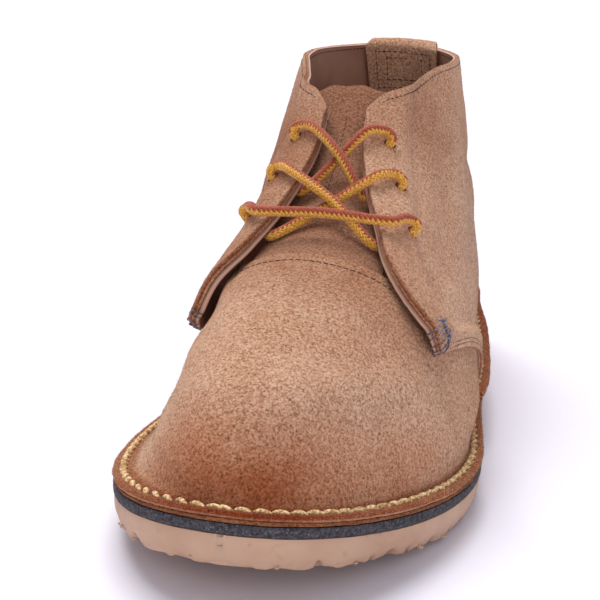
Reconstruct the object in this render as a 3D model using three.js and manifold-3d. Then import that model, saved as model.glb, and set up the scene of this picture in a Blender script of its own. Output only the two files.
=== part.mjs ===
// A man's chukka boot for the left foot, about EU 43, with a stitched-down suede upper and a crepe sole.
// Millimetres. +Z is up, the toe points to -Y, the lateral side faces +X, and the sole stands on z = 0.
import * as THREE from 'three';
import { mergeVertices } from 'three/addons/utils/BufferGeometryUtils.js';
import Module from 'manifold-3d';

const wasm = await Module();
wasm.setup();

// ---- driving sizes ----
const LENGTH = 300;            // sole, toe tip to heel
const BALL_Y = -55;            // line of the ball, where the toe spring starts
const TOE_SPRING = 12.5;       // height of the toe tip's underside over the floor
const SPRING_POWER = 1.8;
const HEEL_RISE = 10;          // how much thicker the wedge is under the heel than at the ball
const RISE_START = -45;        // the wedge thickens from here ...
const RISE_RUN = 165;          // ... over this length
const ARCH = 2.2;              // hollow under the waist between the two flats
const ARCH_FRONT = -28;
const ARCH_BACK = 62;

const CREPE = 8.8;             // crepe at the ball
const RUBBER = 3.2;            // grey rubber midsole
const LEATHER = 1.5;           // leather midsole
const FLANGE = 2.0;            // turned-out edge of the upper
const GAP = 0.3;               // between neighbouring pieces
const FEATHER = 6.3;           // from the sole's edge in to the foot of the upper's wall
const INSOLE = 2.0;
const INSOLE_EASE = 2.0;       // room between the insole and the wall round it

const WALL = 2.4;              // suede and lining of the quarters
const VAMP_WALL = 2.2;
const FACING = 3.2;            // doubled leather along the eyelets
const TONGUE = 1.8;
const TONGUE_DEPTH = 4.3;      // tongue's face under the outer form, which leaves room for the lace
const TACK_LEVEL = 0.28;       // level of the bar tacks, where the free facings end
const FREE = 12;               // facing that hangs free, measured back from its edge
const MERGED = 24;             // where the quarter has become the wall of the shaft
const TACK_BLEND = 0.04;       // share of the height over which they come free of the vamp
const SINK = 0.6;              // how far stitched leather is bedded into the piece under it
const CLEARANCE = 0.4;         // under a facing that hangs free
const HOLE_RADIUS = 2.1;       // punched eyelets
const HOLE_SIDES = 12;
const EYELET_BEHIND = 9.6;     // from the facing's edge back to the eyelets
const LACE_RADIUS = 1.75;
const TAB_WIDTH = 26;
const TAB_THICK = 1.6;
const TAB_DROP = 22;           // how far the pull tab hangs down on either side of the collar

const LEVELS_VAMP = 13;
const ACROSS_VAMP = 26;
const SOLE_STATIONS = 44;
const FLANGE_STATIONS = 72;
const LACE_SIDES = 8;

// ---- tables, with named columns ----
const table = (names, rows) => ({ names: names.split(' '), rows });

// Half widths of the sole either side of its axis, by share of its length from the toe.
const SOLE = table('share lateral medial', [
  [0.00, 58.0, 69.0],
  [0.30, 51.0, 61.0],
  [0.45, 43.5, 48.5],
  [0.60, 41.8, 38.0],
  [0.78, 37.0, 35.0],
  [0.90, 34.0, 34.5],
  [1.00, 33.5, 34.0],
]);
const SOLE_AXIS = table('y shift', [
  [-150, -2.0],
  [-60, 5.5],
  [30, 1.0],
  [90, -3.0],
  [150, -5.5],
]);
const TOE_POWER = 2.13;        // superellipse power of the sole's front half
const HEEL_RADIUS = 40;        // length over which the sole's heel rounds off

// Rings of the outer form, from the feather line (level 0) to the collar (level 1): where each ring
// meets the front and back lines, its half widths over forefoot, waist and heel, and its lean.
const RING_LINES = 'level yFront zFront yBack zBack';
const RING_WIDTHS = 'foreLat foreMed midLat midMed rearLat rearMed power leanFront leanBack';
const RINGS = table(`${RING_LINES} ${RING_WIDTHS}`, [
  [0.00, -143.0, 24.0, 143.5, 23.0, 51.5, 50.5, 36.5, 32.0, 30.0, 29.0, 2.25, -1.0, 0.0],
  [0.08, -143.2, 31.0, 146.0, 31.5, 50.0, 49.0, 38.5, 34.0, 31.0, 30.0, 2.25, -2.0, -0.3],
  [0.18, -137.8, 41.0, 147.3, 41.5, 45.5, 43.5, 40.0, 35.5, 31.5, 30.3, 2.20, -3.5, -0.4],
  [0.28, -126.5, 51.5, 146.8, 51.5, 39.5, 38.5, 39.5, 36.0, 31.0, 30.0, 2.20, -4.5, -0.6],
  [0.40, -105.0, 61.0, 144.5, 62.5, 35.5, 35.8, 38.0, 36.0, 30.2, 29.4, 2.15, -6.0, -0.9],
  [0.52, -73.5, 69.5, 140.8, 75.0, 34.0, 34.2, 35.8, 35.6, 29.3, 28.8, 2.10, -7.0, -1.1],
  [0.64, -43.5, 78.3, 136.8, 87.5, 33.0, 32.6, 33.6, 34.4, 28.3, 28.0, 2.10, -8.0, -1.7],
  [0.76, -17.0, 88.5, 133.2, 99.5, 31.0, 30.5, 31.2, 32.8, 27.2, 27.0, 2.10, -8.8, -2.1],
  [0.88, 4.0, 99.5, 130.4, 110.0, 28.0, 28.5, 29.0, 31.0, 26.0, 26.0, 2.10, -9.3, -2.6],
  [1.00, 29.0, 117.5, 128.2, 118.5, 25.0, 25.5, 27.0, 29.0, 25.0, 25.0, 2.10, -9.6, -3.1],
]);
const WIDTH_SHARES = [0, 0.25, 0.55, 0.85, 1];
const COUNTER_RADIUS = 42;     // length over which the back of each ring rounds off
const HEEL_NARROWING = 0.97;
const SETTLE = 0.28;           // below this level the rings sink to follow the sole's top
const FOOT = 0.08;             // below this level they turn into the feather line

// Front edge of the quarters: angle round the form by level. It runs down the facing, turns back
// round the bar tack at a third of the height, and falls to the sole at the waist.
const QUARTER_EDGE = table('level angle', [
  [0.000, 1.56],
  [0.080, 1.52],
  [0.150, 1.45],
  [0.210, 1.36],
  [0.246, 1.24],
  [0.268, 1.12],
  [0.290, 1.03],
  [0.345, 0.95],
  [0.450, 0.81],
  [0.580, 0.60],
  [0.680, 0.46],
  [0.770, 0.35],
  [0.850, 0.27],
  [0.920, 0.22],
  [1.000, 0.20],
]);
const QUARTER_LEVELS = [
  0, 0.03, 0.08, 0.14, 0.2, 0.24, 0.268, 0.295, 0.34,
  0.4, 0.48, 0.57, 0.66, 0.75, 0.84, 0.92, 0.97, 1,
];
const QUARTER_SHARES = [0, 0.03, 0.08, 0.14, 0.2, 0.28, 0.38, 0.5, 0.62, 0.74, 0.84, 0.92];

// Rear edge of the vamp, hidden under the quarters.
const VAMP_EDGE = table('level angle', [
  [0.00, 1.72],
  [0.15, 1.61],
  [0.24, 1.44],
  [0.30, 1.26],
  [0.45, 1.04],
  [0.60, 0.84],
]);
const BIB_TOP = 0.588;         // level of the seam where vamp and tongue meet, at the centre
const BIB_FALL = 0.19;         // how fast that seam falls away with the square of the angle
const BIB_REACH = 0.75;        // angle past which it stays level, under the facings
const HIDDEN_FROM = 0.88;      // outer share of the vamp that lies inside the quarters' leather ...
const HIDDEN_BLEND = 0.1;      // ... after this blend, over which it is pared down on both faces
const PARED_FACE = 0.5;
const PARED_UNDER = 0.4;
const COLLAR_DROP = 0.05;      // the collar's edge falls by this share towards the facings ...
const COLLAR_RUN = 42;         // ... over this length
const CORNER_DROP = 0.03;      // rounding of the facings' top corners
const CORNER_RUN = 7;
const FLARE = table('level lift', [
  [0.24, 0.3],
  [0.32, 2.6],
  [0.45, 2.2],
  [0.60, 0.9],
  [0.75, 0.1],
  [1.00, 0.0],
]);

// Eyelets, three a side, by level and angle round the form.
const EYELETS = table('level angle', [
  [0.575, 0.78],
  [0.705, 0.62],
  [0.837, 0.49],
]);

// ---- small maths ----
const clamp = (x, low, high) => Math.min(Math.max(x, low), high);
const smooth = (x) => {
  const c = clamp(x, 0, 1);
  return c * c * (3 - 2 * c);
};
const mix = (a, b, share) => a + (b - a) * share;

function cubic(xs, ys, x) {
  const last = xs.length - 1;
  const at = clamp(x, xs[0], xs[last]);
  const slope = (i) => (ys[i + 1] - ys[i]) / (xs[i + 1] - xs[i]);
  const tangent = (i) => {
    if (i === 0) return slope(0);
    if (i === last) return slope(last - 1);
    const before = xs[i] - xs[i - 1];
    const after = xs[i + 1] - xs[i];
    return (slope(i - 1) * after + slope(i) * before) / (before + after);
  };
  let k = 0;
  while (k < last - 1 && at >= xs[k + 1]) k += 1;
  const h = xs[k + 1] - xs[k];
  const s = (at - xs[k]) / h;
  return (2 * s ** 3 - 3 * s ** 2 + 1) * ys[k] + (s ** 3 - 2 * s ** 2 + s) * h * tangent(k)
    + (3 * s ** 2 - 2 * s ** 3) * ys[k + 1] + (s ** 3 - s ** 2) * h * tangent(k + 1);
}

// One column of a table as a smooth curve over its first column.
function read(source, name, x) {
  const column = source.names.indexOf(name);
  return cubic(source.rows.map((row) => row[0]), source.rows.map((row) => row[column]), x);
}

// ---- the sole's outline and levels ----
const spring = (y) => TOE_SPRING * Math.max(0, (BALL_Y - y) / (BALL_Y + LENGTH / 2)) ** SPRING_POWER;
const rise = (y) => HEEL_RISE * smooth((y - RISE_START) / RISE_RUN);
const arch = (y) => {
  const share = clamp((y - ARCH_FRONT) / (ARCH_BACK - ARCH_FRONT), 0, 1);
  return ARCH * Math.sin(Math.PI * share) ** 2;
};
const crepeTop = (y) => CREPE + spring(y) + rise(y);
const rubberTop = (y) => crepeTop(y) + RUBBER;
const leatherTop = (y) => rubberTop(y) + LEATHER;
const flangeTop = (y) => leatherTop(y) + FLANGE;

// Share of the full width at an angle: a superellipse over the front half, an arc round the heel.
function ends(angle, power, toBack, radius) {
  if (Math.cos(angle) > 0) return Math.abs(Math.sin(angle)) ** (2 / power);
  const into = clamp(1 - toBack / radius, 0, 1);
  return Math.sqrt(1 - into ** 2);
}

// Angle 0 is the toe, pi the heel, with the lateral side between and the medial side beyond.
function rawOutline(angle, inset) {
  const share = (1 - Math.cos(angle)) / 2;
  const y = (LENGTH - 2 * inset) * (share - 0.5);
  const round = ends(angle, TOE_POWER, LENGTH / 2 - inset - y, HEEL_RADIUS);
  const axis = read(SOLE_AXIS, 'shift', y);
  const lateral = (read(SOLE, 'lateral', share) - inset) * round;
  const medial = (read(SOLE, 'medial', share) - inset) * round;
  return { x: Math.sin(angle) >= 0 ? axis + lateral : axis - medial, y };
}

// The axis is moved sideways so that the widest points lie evenly about x = 0.
function findCentre() {
  let low = 0;
  let high = 0;
  for (let i = 0; i < 720; i += 1) {
    const { x } = rawOutline((i / 360) * Math.PI, 0);
    low = Math.min(low, x);
    high = Math.max(high, x);
  }
  return (low + high) / 2;
}
const CENTRE = findCentre();

function outline(angle, inset = 0) {
  const { x, y } = rawOutline(angle, inset);
  return { x: x - CENTRE, y };
}

// ---- the upper's outer form ----
function ringWidth(level, side, share) {
  const at = ['fore', 'mid', 'rear'].map((part) => read(RINGS, part + side, level));
  const widths = [at[0], at[0], at[1], at[2], at[2] * HEEL_NARROWING];
  return cubicFlat(WIDTH_SHARES, widths, share);
}

// The same curve with level ends.
function cubicFlat(xs, ys, x) {
  const last = xs.length - 1;
  const k = Math.max(0, xs.findLastIndex((edge, i) => i < last && x >= edge));
  const slope = (i) => (ys[i + 1] - ys[i]) / (xs[i + 1] - xs[i]);
  const tangent = (i) => {
    if (i === 0 || i === last) return 0;
    const before = xs[i] - xs[i - 1];
    const after = xs[i + 1] - xs[i];
    return (slope(i) * before + slope(i - 1) * after) / (before + after);
  };
  const h = xs[k + 1] - xs[k];
  const s = (x - xs[k]) / h;
  return (2 * s ** 3 - 3 * s ** 2 + 1) * ys[k] + (s ** 3 - 2 * s ** 2 + s) * h * tangent(k)
    + (3 * s ** 2 - 2 * s ** 3) * ys[k + 1] + (s ** 3 - s ** 2) * h * tangent(k + 1);
}

function form(level, angle) {
  const share = (1 - Math.cos(angle)) / 2;
  const lateral = Math.sin(angle) >= 0;
  const back = read(RINGS, 'yBack', level);
  const y = mix(read(RINGS, 'yFront', level), back, share);
  const round = ends(angle, read(RINGS, 'power', level), back - y, COUNTER_RADIUS);
  const width = ringWidth(level, lateral ? 'Lat' : 'Med', share) * round;
  const lean = mix(read(RINGS, 'leanFront', level), read(RINGS, 'leanBack', level), smooth(share));
  const x = (lateral ? width : -width) + read(SOLE_AXIS, 'shift', y) + lean - CENTRE;
  const flat = mix(RINGS.rows[0][2], RINGS.rows[0][4], share);
  const settle = Math.max(0, 1 - level / SETTLE) * (flat - flangeTop(y) + SINK);
  const z = mix(read(RINGS, 'zFront', level), read(RINGS, 'zBack', level), share) - settle;
  const foot = Math.max(0, 1 - level / FOOT);
  const edge = outline(angle, FEATHER);
  return new THREE.Vector3(mix(x, edge.x, foot), mix(y, edge.y, foot), z);
}

// Outward direction of the form, kept level at its foot.
function outward(level, angle) {
  const step = 0.01;
  const up = form(Math.min(level + step, 1), angle).sub(form(Math.max(level - step, 0), angle));
  const round = form(level, angle + step).sub(form(level, angle - step));
  const normal = round.cross(up);
  normal.z *= smooth(level / FOOT);
  return normal.normalize();
}

const over = (level, angle, height) => form(level, angle).addScaledVector(outward(level, angle), height);

// ---- building closed meshes ----
function solid(triangles) {
  const positions = triangles.flat().flatMap((p) => [p.x, p.y, p.z]);
  let geometry = new THREE.BufferGeometry();
  geometry.setAttribute('position', new THREE.Float32BufferAttribute(positions, 3));
  geometry = mergeVertices(geometry, 1e-4);
  const index = [...geometry.getIndex().array];
  const kept = [];
  for (let i = 0; i < index.length; i += 3) {
    const [a, b, c] = index.slice(i, i + 3);
    if (a !== b && b !== c && a !== c) kept.push(a, b, c);
  }
  if (volume(geometry.getAttribute('position'), kept) < 0) kept.reverse();
  geometry.setIndex(kept);
  return geometry;
}

function volume(position, index) {
  const corner = (i) => new THREE.Vector3().fromBufferAttribute(position, i);
  let sum = 0;
  for (let i = 0; i < index.length; i += 3) {
    const [a, b, c] = [corner(index[i]), corner(index[i + 1]), corner(index[i + 2])];
    sum += a.dot(b.cross(c));
  }
  return sum;
}

function quad(list, a, b, c, d) {
  list.push([a, b, c], [a, c, d]);
}

// A sheet between two grids of points. With closed set, its columns run right round.
function sheet(front, back, closed = false) {
  const faces = [];
  const rows = front.length;
  const columns = front[0].length;
  const end = columns - 1;
  const spans = closed ? columns : end;
  const next = (j) => (j + 1) % columns;
  for (let i = 0; i < rows - 1; i += 1) {
    for (let j = 0; j < spans; j += 1) {
      quad(faces, front[i][j], front[i][next(j)], front[i + 1][next(j)], front[i + 1][j]);
      quad(faces, back[i][j], back[i + 1][j], back[i + 1][next(j)], back[i][next(j)]);
    }
    if (!closed) {
      quad(faces, front[i][0], front[i + 1][0], back[i + 1][0], back[i][0]);
      quad(faces, front[i][end], back[i][end], back[i + 1][end], front[i + 1][end]);
    }
  }
  const [frontTop, backTop] = [front[rows - 1], back[rows - 1]];
  for (let j = 0; j < spans; j += 1) {
    quad(faces, front[0][j], back[0][j], back[0][next(j)], front[0][next(j)]);
    quad(faces, frontTop[j], frontTop[next(j)], backTop[next(j)], backTop[j]);
  }
  return solid(faces);
}

function toManifold(geometry) {
  let plain = geometry.clone();
  plain.deleteAttribute('normal');
  plain.deleteAttribute('uv');
  plain = mergeVertices(plain, 1e-4);
  const vertProperties = new Float32Array(plain.getAttribute('position').array);
  const triVerts = new Uint32Array(plain.getIndex().array);
  return new wasm.Manifold(new wasm.Mesh({ numProp: 3, vertProperties, triVerts }));
}

function fromManifold(body) {
  const mesh = body.getMesh();
  const geometry = new THREE.BufferGeometry();
  geometry.setAttribute('position', new THREE.Float32BufferAttribute(mesh.vertProperties, 3));
  geometry.setIndex([...mesh.triVerts]);
  return geometry;
}

const join = (pieces) => pieces.map(toManifold).reduce((all, next) => all.add(next));
const cut = (body, pieces) => pieces.map(toManifold).reduce((rest, next) => rest.subtract(next), body);

// Two curved sheets can enclose a crumb of air where they cross: only the outer shell is kept.
const larger = (one, other) => (other.volume() > one.volume() ? other : one);
const outerShell = (body) => body.decompose().reduce(larger);

// ---- sole ----
// A layer between two levels, cut into cross rows: top and underside are single spans across.
function layer(bottom, top, insetBottom, insetTop) {
  const faces = [];
  const rows = [];
  for (let i = 0; i <= SOLE_STATIONS; i += 1) {
    const angle = (Math.PI * i) / SOLE_STATIONS;
    const point = (side, inset, level) => {
      const { x, y } = outline(side * angle, inset);
      return new THREE.Vector3(x, y, level(y));
    };
    const low = [point(1, insetBottom, bottom), point(-1, insetBottom, bottom)];
    const high = [point(1, insetTop, top), point(-1, insetTop, top)];
    if (i === 0 || i === SOLE_STATIONS) {
      low[1] = low[0];
      high[1] = high[0];
    }
    rows.push({ low, high });
  }
  for (let i = 0; i < SOLE_STATIONS; i += 1) {
    const [a, b] = [rows[i], rows[i + 1]];
    quad(faces, a.high[1], a.high[0], b.high[0], b.high[1]);
    quad(faces, a.low[0], a.low[1], b.low[1], b.low[0]);
    quad(faces, a.low[0], b.low[0], b.high[0], a.high[0]);
    quad(faces, a.low[1], a.high[1], b.high[1], b.low[1]);
  }
  return solid(faces);
}

const GROOVE_PITCH = 10;
const GROOVE_WIDTH = 2.6;
const GROOVE_DEPTH = 1.8;
const GROOVE_SWING = 3.2;      // half height of the zigzag
const ZIGZAG_STEP = 9;
const CREPE_TUCK = 2.2;        // how much the crepe's wall leans in at the bottom
const CREPE_INSET = 0.6;
const LEATHER_INSET = 0.3;     // leather midsole and flange, in from the rubber's edge
const CUT_BELOW = 2;           // the grooves' cutter starts this far under the floor
const TREAD = table('start end', [
  [-134, -48],
  [72, 138],
]);

// One zigzag groove across the whole width, as deep as the tread all along the toe spring.
function groove(y) {
  const half = LENGTH / 5 + ZIGZAG_STEP;
  const count = Math.round((2 * half) / ZIGZAG_STEP);
  const swing = (i) => (i % 2 ? GROOVE_SWING : -GROOVE_SWING);
  const corner = (i, side) => [i * ZIGZAG_STEP - half, swing(i) + (side * GROOVE_WIDTH) / 2];
  const shape = new THREE.Shape();
  for (let i = 0; i <= count; i += 1) shape[i ? 'lineTo' : 'moveTo'](...corner(i, 1));
  for (let i = count; i >= 0; i -= 1) shape.lineTo(...corner(i, -1));
  const depth = spring(y) + GROOVE_DEPTH + CUT_BELOW;
  const geometry = new THREE.ExtrudeGeometry(shape, { depth, bevelEnabled: false });
  return geometry.translate(0, y, -CUT_BELOW);
}

function outsole() {
  const bottom = (y) => spring(y) + arch(y);
  const body = layer(bottom, crepeTop, CREPE_INSET + CREPE_TUCK, CREPE_INSET);
  const grooves = [];
  for (const [start, end] of TREAD.rows) {
    for (let y = start; y <= end; y += GROOVE_PITCH) grooves.push(groove(y));
  }
  return fromManifold(cut(toManifold(body), grooves));
}

const rubberMidsole = () => layer((y) => crepeTop(y) + GAP, rubberTop, 0, 0);

function leatherMidsole() {
  return layer((y) => rubberTop(y) + GAP, leatherTop, LEATHER_INSET, LEATHER_INSET);
}

function insole() {
  const bottom = (y) => leatherTop(y) + GAP;
  const inset = FEATHER + WALL + INSOLE_EASE;
  return layer(bottom, (y) => bottom(y) + INSOLE, inset, inset);
}

// ---- upper ----
// Foot of the wall: it splays out to the flange in a small bend.
const BEND_LEVEL = 0.045;
const BEND = 2.0;
const bend = (level) => BEND * Math.max(0, 1 - level / BEND_LEVEL) ** 2;

function collarTop(behind) {
  const drop = COLLAR_DROP * (1 - smooth(behind / COLLAR_RUN));
  return 1 - drop - CORNER_DROP * Math.max(0, 1 - behind / CORNER_RUN) ** 2;
}

// Underside and face of the quarter, as heights over the form, by level and distance behind its edge.
function quarterHeights(level, behind) {
  const free = smooth((level - TACK_LEVEL + TACK_BLEND / 4) / TACK_BLEND);
  const merged = smooth((behind - FREE) / (MERGED - FREE));
  const flare = read(FLARE, 'lift', level) * (1 - smooth(behind / MERGED));
  const under = mix(mix(-SINK, CLEARANCE + flare, free), -WALL, merged);
  const thick = mix(mix(WALL, FACING, free), WALL, merged);
  return { under, face: under + thick };
}

function quarterRow(level) {
  const edge = read(QUARTER_EDGE, 'angle', level);
  const lateral = QUARTER_SHARES.map((share) => mix(edge, Math.PI, share));
  const angles = [...lateral, Math.PI, ...lateral.map((angle) => 2 * Math.PI - angle).reverse()];
  const points = angles.map((angle) => form(level, angle));
  const run = points.map((point, j) => (j ? point.distanceTo(points[j - 1]) : 0));
  const along = run.map((_, j) => run.slice(0, j + 1).reduce((sum, step) => sum + step, 0));
  const total = along[along.length - 1];
  return angles.map((angle, j) => ({ angle, behind: Math.min(along[j], total - along[j]) }));
}

function quarters() {
  const grid = (height) => QUARTER_LEVELS.map((level) => quarterRow(level).map(({ angle, behind }) => (
    over(level * collarTop(behind), angle, height(level, behind))
  )));
  const face = (level, behind) => quarterHeights(level, behind).face + bend(level);
  const under = (level, behind) => quarterHeights(level, behind).under;
  return sheet(grid(face), grid(under));
}

const bibTop = (angle) => BIB_TOP - BIB_FALL * Math.min(Math.abs(angle), BIB_REACH) ** 2;

function vamp() {
  const grid = (height) => Array.from({ length: LEVELS_VAMP + 1 }, (_, i) => {
    const share = i / LEVELS_VAMP;
    const reach = read(VAMP_EDGE, 'angle', share * BIB_TOP);
    return Array.from({ length: ACROSS_VAMP + 1 }, (__, j) => {
      const across = (2 * j) / ACROSS_VAMP - 1;
      const angle = reach * across;
      const level = share * bibTop(angle);
      return over(level, angle, height(level, smooth((Math.abs(across) - HIDDEN_FROM) / HIDDEN_BLEND)));
    });
  });
  const face = (level, hidden) => bend(level) - PARED_FACE * hidden;
  const under = (level, hidden) => PARED_UNDER * hidden - VAMP_WALL;
  return sheet(grid(face), grid(under));
}

function flange() {
  const ring = (inset, height) => Array.from({ length: FLANGE_STATIONS }, (_, i) => {
    const { x, y } = outline((2 * Math.PI * i) / FLANGE_STATIONS, inset);
    return new THREE.Vector3(x, y, height(y));
  });
  const insets = [LEATHER_INSET, FEATHER + VAMP_WALL];
  const rings = (height) => insets.map((inset) => ring(inset, height));
  return sheet(rings(flangeTop), rings((y) => leatherTop(y) + GAP), true);
}

function eyelet(level, angle) {
  const { under, face } = quarterHeights(level, EYELET_BEHIND);
  const middle = (under + face) / 2;
  const hole = new THREE.CylinderGeometry(HOLE_RADIUS, HOLE_RADIUS, 3 * FACING, HOLE_SIDES);
  const turn = new THREE.Quaternion().setFromUnitVectors(new THREE.Vector3(0, 1, 0), outward(level, angle));
  const centre = over(level, angle, middle);
  return hole.applyQuaternion(turn).translate(centre.x, centre.y, centre.z);
}

function upper() {
  const body = outerShell(join([quarters(), vamp(), flange()]));
  const holes = EYELETS.rows.flatMap(([level, angle]) => [eyelet(level, angle), eyelet(level, -angle)]);
  return fromManifold(cut(body, holes));
}

// ---- tongue ----
const TONGUE_FOOT = 0.5;       // its hidden lower end, under the vamp
const TONGUE_SINK = 0.06;      // share of height over which it drops to its full depth
const TONGUE_SWEEP = 0.06;     // its foot is lower at the sides, as the seam is
const TONGUE_TOP = 0.945;
const TONGUE_ROWS = 12;
const TONGUE_COLUMNS = 12;
const TONGUE_SPAN = table('level angle', [
  [0.50, 0.66],
  [0.60, 0.66],
  [0.75, 0.72],
  [0.95, 0.85],
]);
const TONGUE_CROWN = 0.05;     // its top edge is highest in the middle

function tongue() {
  const seated = VAMP_WALL + GAP;
  const grid = (thick) => Array.from({ length: TONGUE_ROWS + 1 }, (_, i) => {
    const share = i / TONGUE_ROWS;
    return Array.from({ length: TONGUE_COLUMNS + 1 }, (__, j) => {
      const across = (2 * j) / TONGUE_COLUMNS - 1;
      const top = TONGUE_TOP + TONGUE_CROWN * (1 - across ** 2);
      const level = mix(TONGUE_FOOT - TONGUE_SWEEP * across ** 2, top, share);
      const angle = read(TONGUE_SPAN, 'angle', level) * across;
      const sunk = smooth((level - TONGUE_FOOT) / TONGUE_SINK);
      return over(level, angle, -mix(seated, TONGUE_DEPTH, sunk) - thick);
    });
  });
  return sheet(grid(0), grid(TONGUE));
}

// ---- pull tab: a strip folded over the back of the collar ----
const TAB_EASE = 0.66;         // between the strip and either face of the quarters

function pullTab() {
  const inner = -WALL - TAB_EASE;
  const step = 0.05;
  const upright = form(1, Math.PI).z - form(0, Math.PI).z;
  const fall = TAB_DROP / upright;
  const path = (thick) => [
    { level: 1 - fall, height: inner - thick },
    { level: 1 - fall / 2, height: inner - thick },
    { level: 1, height: inner - thick },
    { level: 1, height: inner - thick, raised: GAP + thick },
    { level: 1, height: TAB_EASE + thick, raised: GAP + thick },
    { level: 1, height: TAB_EASE + thick },
    { level: 1 - fall / 2, height: TAB_EASE + thick },
    { level: 1 - fall, height: TAB_EASE + thick },
  ];
  const at = (level, height, angle) => over(level, Math.PI + angle, height);
  const row = ({ level, height, raised = 0 }) => {
    const reach = (TAB_WIDTH * step) / at(level, height, step).distanceTo(at(level, height, -step));
    return [-1, -0.5, 0, 0.5, 1].map((across) => {
      const point = at(level, height, across * reach);
      point.z += raised;
      return point;
    });
  };
  return sheet(path(TAB_THICK).map(row), path(0).map(row));
}

// ---- lace ----
function strand(stops) {
  const section = new THREE.Shape();
  for (let i = 0; i < LACE_SIDES; i += 1) {
    const turn = (2 * Math.PI * i) / LACE_SIDES;
    section[i ? 'lineTo' : 'moveTo'](LACE_RADIUS * Math.cos(turn), LACE_RADIUS * Math.sin(turn));
  }
  section.closePath();
  const extrudePath = new THREE.CatmullRomCurve3(stops, false, 'centripetal');
  return new THREE.ExtrudeGeometry(section, { steps: LACE_STEPS, bevelEnabled: false, extrudePath });
}

const edgeAngle = (level) => read(QUARTER_EDGE, 'angle', level);
const lift = (level) => quarterHeights(level, 0).face;
const ON_FACING = GAP + LACE_RADIUS;                   // lace over the face of a facing
const ON_TONGUE = -TONGUE_DEPTH + GAP + LACE_RADIUS;   // and over the form, where it lies on the tongue
const CROSS_OVER = 2.4;        // the lateral strand bows out over the other, which bows in
const CROSS_UNDER = -0.4;
const BAR_EASE = 0.8;          // the bar stands this much further off the flared facings
const BAR_BOW = 1.6;           // it passes over both strands of the first crossing
const EDGE_EASE = 1.6;         // and a crossing strand off the facing's edge
const LACE_STEPS = 20;
const UNDER_EASE = 0.4;        // a strand leaves the tongue as it comes out from under a facing
const TO_EDGE = 0.92;          // a strand bends this far along from the eyelet to the facing's edge
const STARTS_AT = 0.35;        // and its hidden lower end starts this far along
const CLEAR_OF = 1.4;          // this is past the edge, over the bare tongue

// A point over a facing by its eyelet: inwards is the share of the way from the eyelet to the edge.
function onFacing(row, side, inwards, height) {
  const [level, angle] = EYELETS.rows[row];
  return over(level, side * mix(angle, edgeAngle(level), inwards), height);
}

// Straight over the throat between the two lowest eyelets.
function laceBar() {
  const [level] = EYELETS.rows[0];
  const height = lift(level) + ON_FACING + BAR_EASE;
  const half = (side) => [onFacing(0, side, 0, height), onFacing(0, side, TO_EDGE, height + BAR_EASE)];
  const [start, edge] = half(1);
  const [end, farEdge] = half(-1);
  const middle = edge.clone().lerp(farEdge, 0.5).add(new THREE.Vector3(0, -BAR_BOW / 2, BAR_BOW));
  return strand([start, edge, middle, farEdge, end]);
}

// Two strands that rise from under a facing, cross, and lie on the opposite one up to its eyelet.
function laceCross(row) {
  const rising = (side, bulge) => {
    const height = lift(EYELETS.rows[row + 1][0]) + ON_FACING;
    const start = onFacing(row, side, STARTS_AT, ON_TONGUE);
    const under = onFacing(row, side, CLEAR_OF, ON_TONGUE + UNDER_EASE);
    const edge = onFacing(row + 1, -side, TO_EDGE, height + EDGE_EASE);
    const end = onFacing(row + 1, -side, 0, height);
    const middle = under.clone().lerp(edge, 0.5).add(new THREE.Vector3(0, -bulge / 2, bulge));
    return strand([start, under, middle, edge, end]);
  };
  return fromManifold(join([rising(1, CROSS_OVER), rising(-1, CROSS_UNDER)]));
}

// ---- assembly ----
const suede = { color: 0xb07c54, roughness: 0.95, metalness: 0 };
const crepe = { color: 0xd8b490, roughness: 0.7, metalness: 0 };
const grey = { color: 0x3c3f47, roughness: 0.8, metalness: 0 };
const leather = { color: 0x8a5330, roughness: 0.75, metalness: 0 };
const braid = { color: 0xb8742a, roughness: 0.85, metalness: 0 };

const boot = new THREE.Group();

function add(name, geometry, finish) {
  const mesh = new THREE.Mesh(geometry, new THREE.MeshStandardMaterial(finish));
  mesh.name = name;
  boot.add(mesh);
}

add('outsole', outsole(), crepe);
add('rubber_midsole', rubberMidsole(), grey);
add('leather_midsole', leatherMidsole(), leather);
add('insole', insole(), leather);
add('upper', upper(), suede);
add('tongue', tongue(), suede);
add('pull_tab', pullTab(), suede);
add('lace_bar', laceBar(), braid);
add('lace_cross_lower', laceCross(0), braid);
add('lace_cross_upper', laceCross(1), braid);

export default boot;
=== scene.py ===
"""A left chukka boot in tan rough-out suede on a crepe sole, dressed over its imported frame.

The frame is in metres; the sizes below are in millimetres and are turned into metres by to_mesh().
The upper's outer form is a family of rings: level 0 is the feather line and level 1 the collar, and
the angle runs from the toe (0) along the lateral side to the heel (pi) and back along the medial side.
"""
import math

import bmesh
import bpy
import numpy as np
from mathutils import Matrix, Vector


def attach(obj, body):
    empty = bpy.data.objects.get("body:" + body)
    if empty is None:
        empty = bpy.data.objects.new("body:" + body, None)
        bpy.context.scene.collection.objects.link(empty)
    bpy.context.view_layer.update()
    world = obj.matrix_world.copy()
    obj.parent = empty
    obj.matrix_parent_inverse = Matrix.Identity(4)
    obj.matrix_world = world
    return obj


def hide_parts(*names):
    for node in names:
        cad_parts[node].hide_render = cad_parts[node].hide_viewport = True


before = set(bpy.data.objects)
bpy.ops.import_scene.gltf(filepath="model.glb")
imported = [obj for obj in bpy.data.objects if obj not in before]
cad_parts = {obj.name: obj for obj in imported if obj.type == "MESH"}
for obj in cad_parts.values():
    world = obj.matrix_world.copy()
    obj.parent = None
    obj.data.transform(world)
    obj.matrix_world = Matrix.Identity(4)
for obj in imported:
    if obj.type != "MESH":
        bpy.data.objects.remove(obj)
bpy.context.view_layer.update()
rng = np.random.default_rng(11)
PI = math.pi
MM = 0.001

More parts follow.
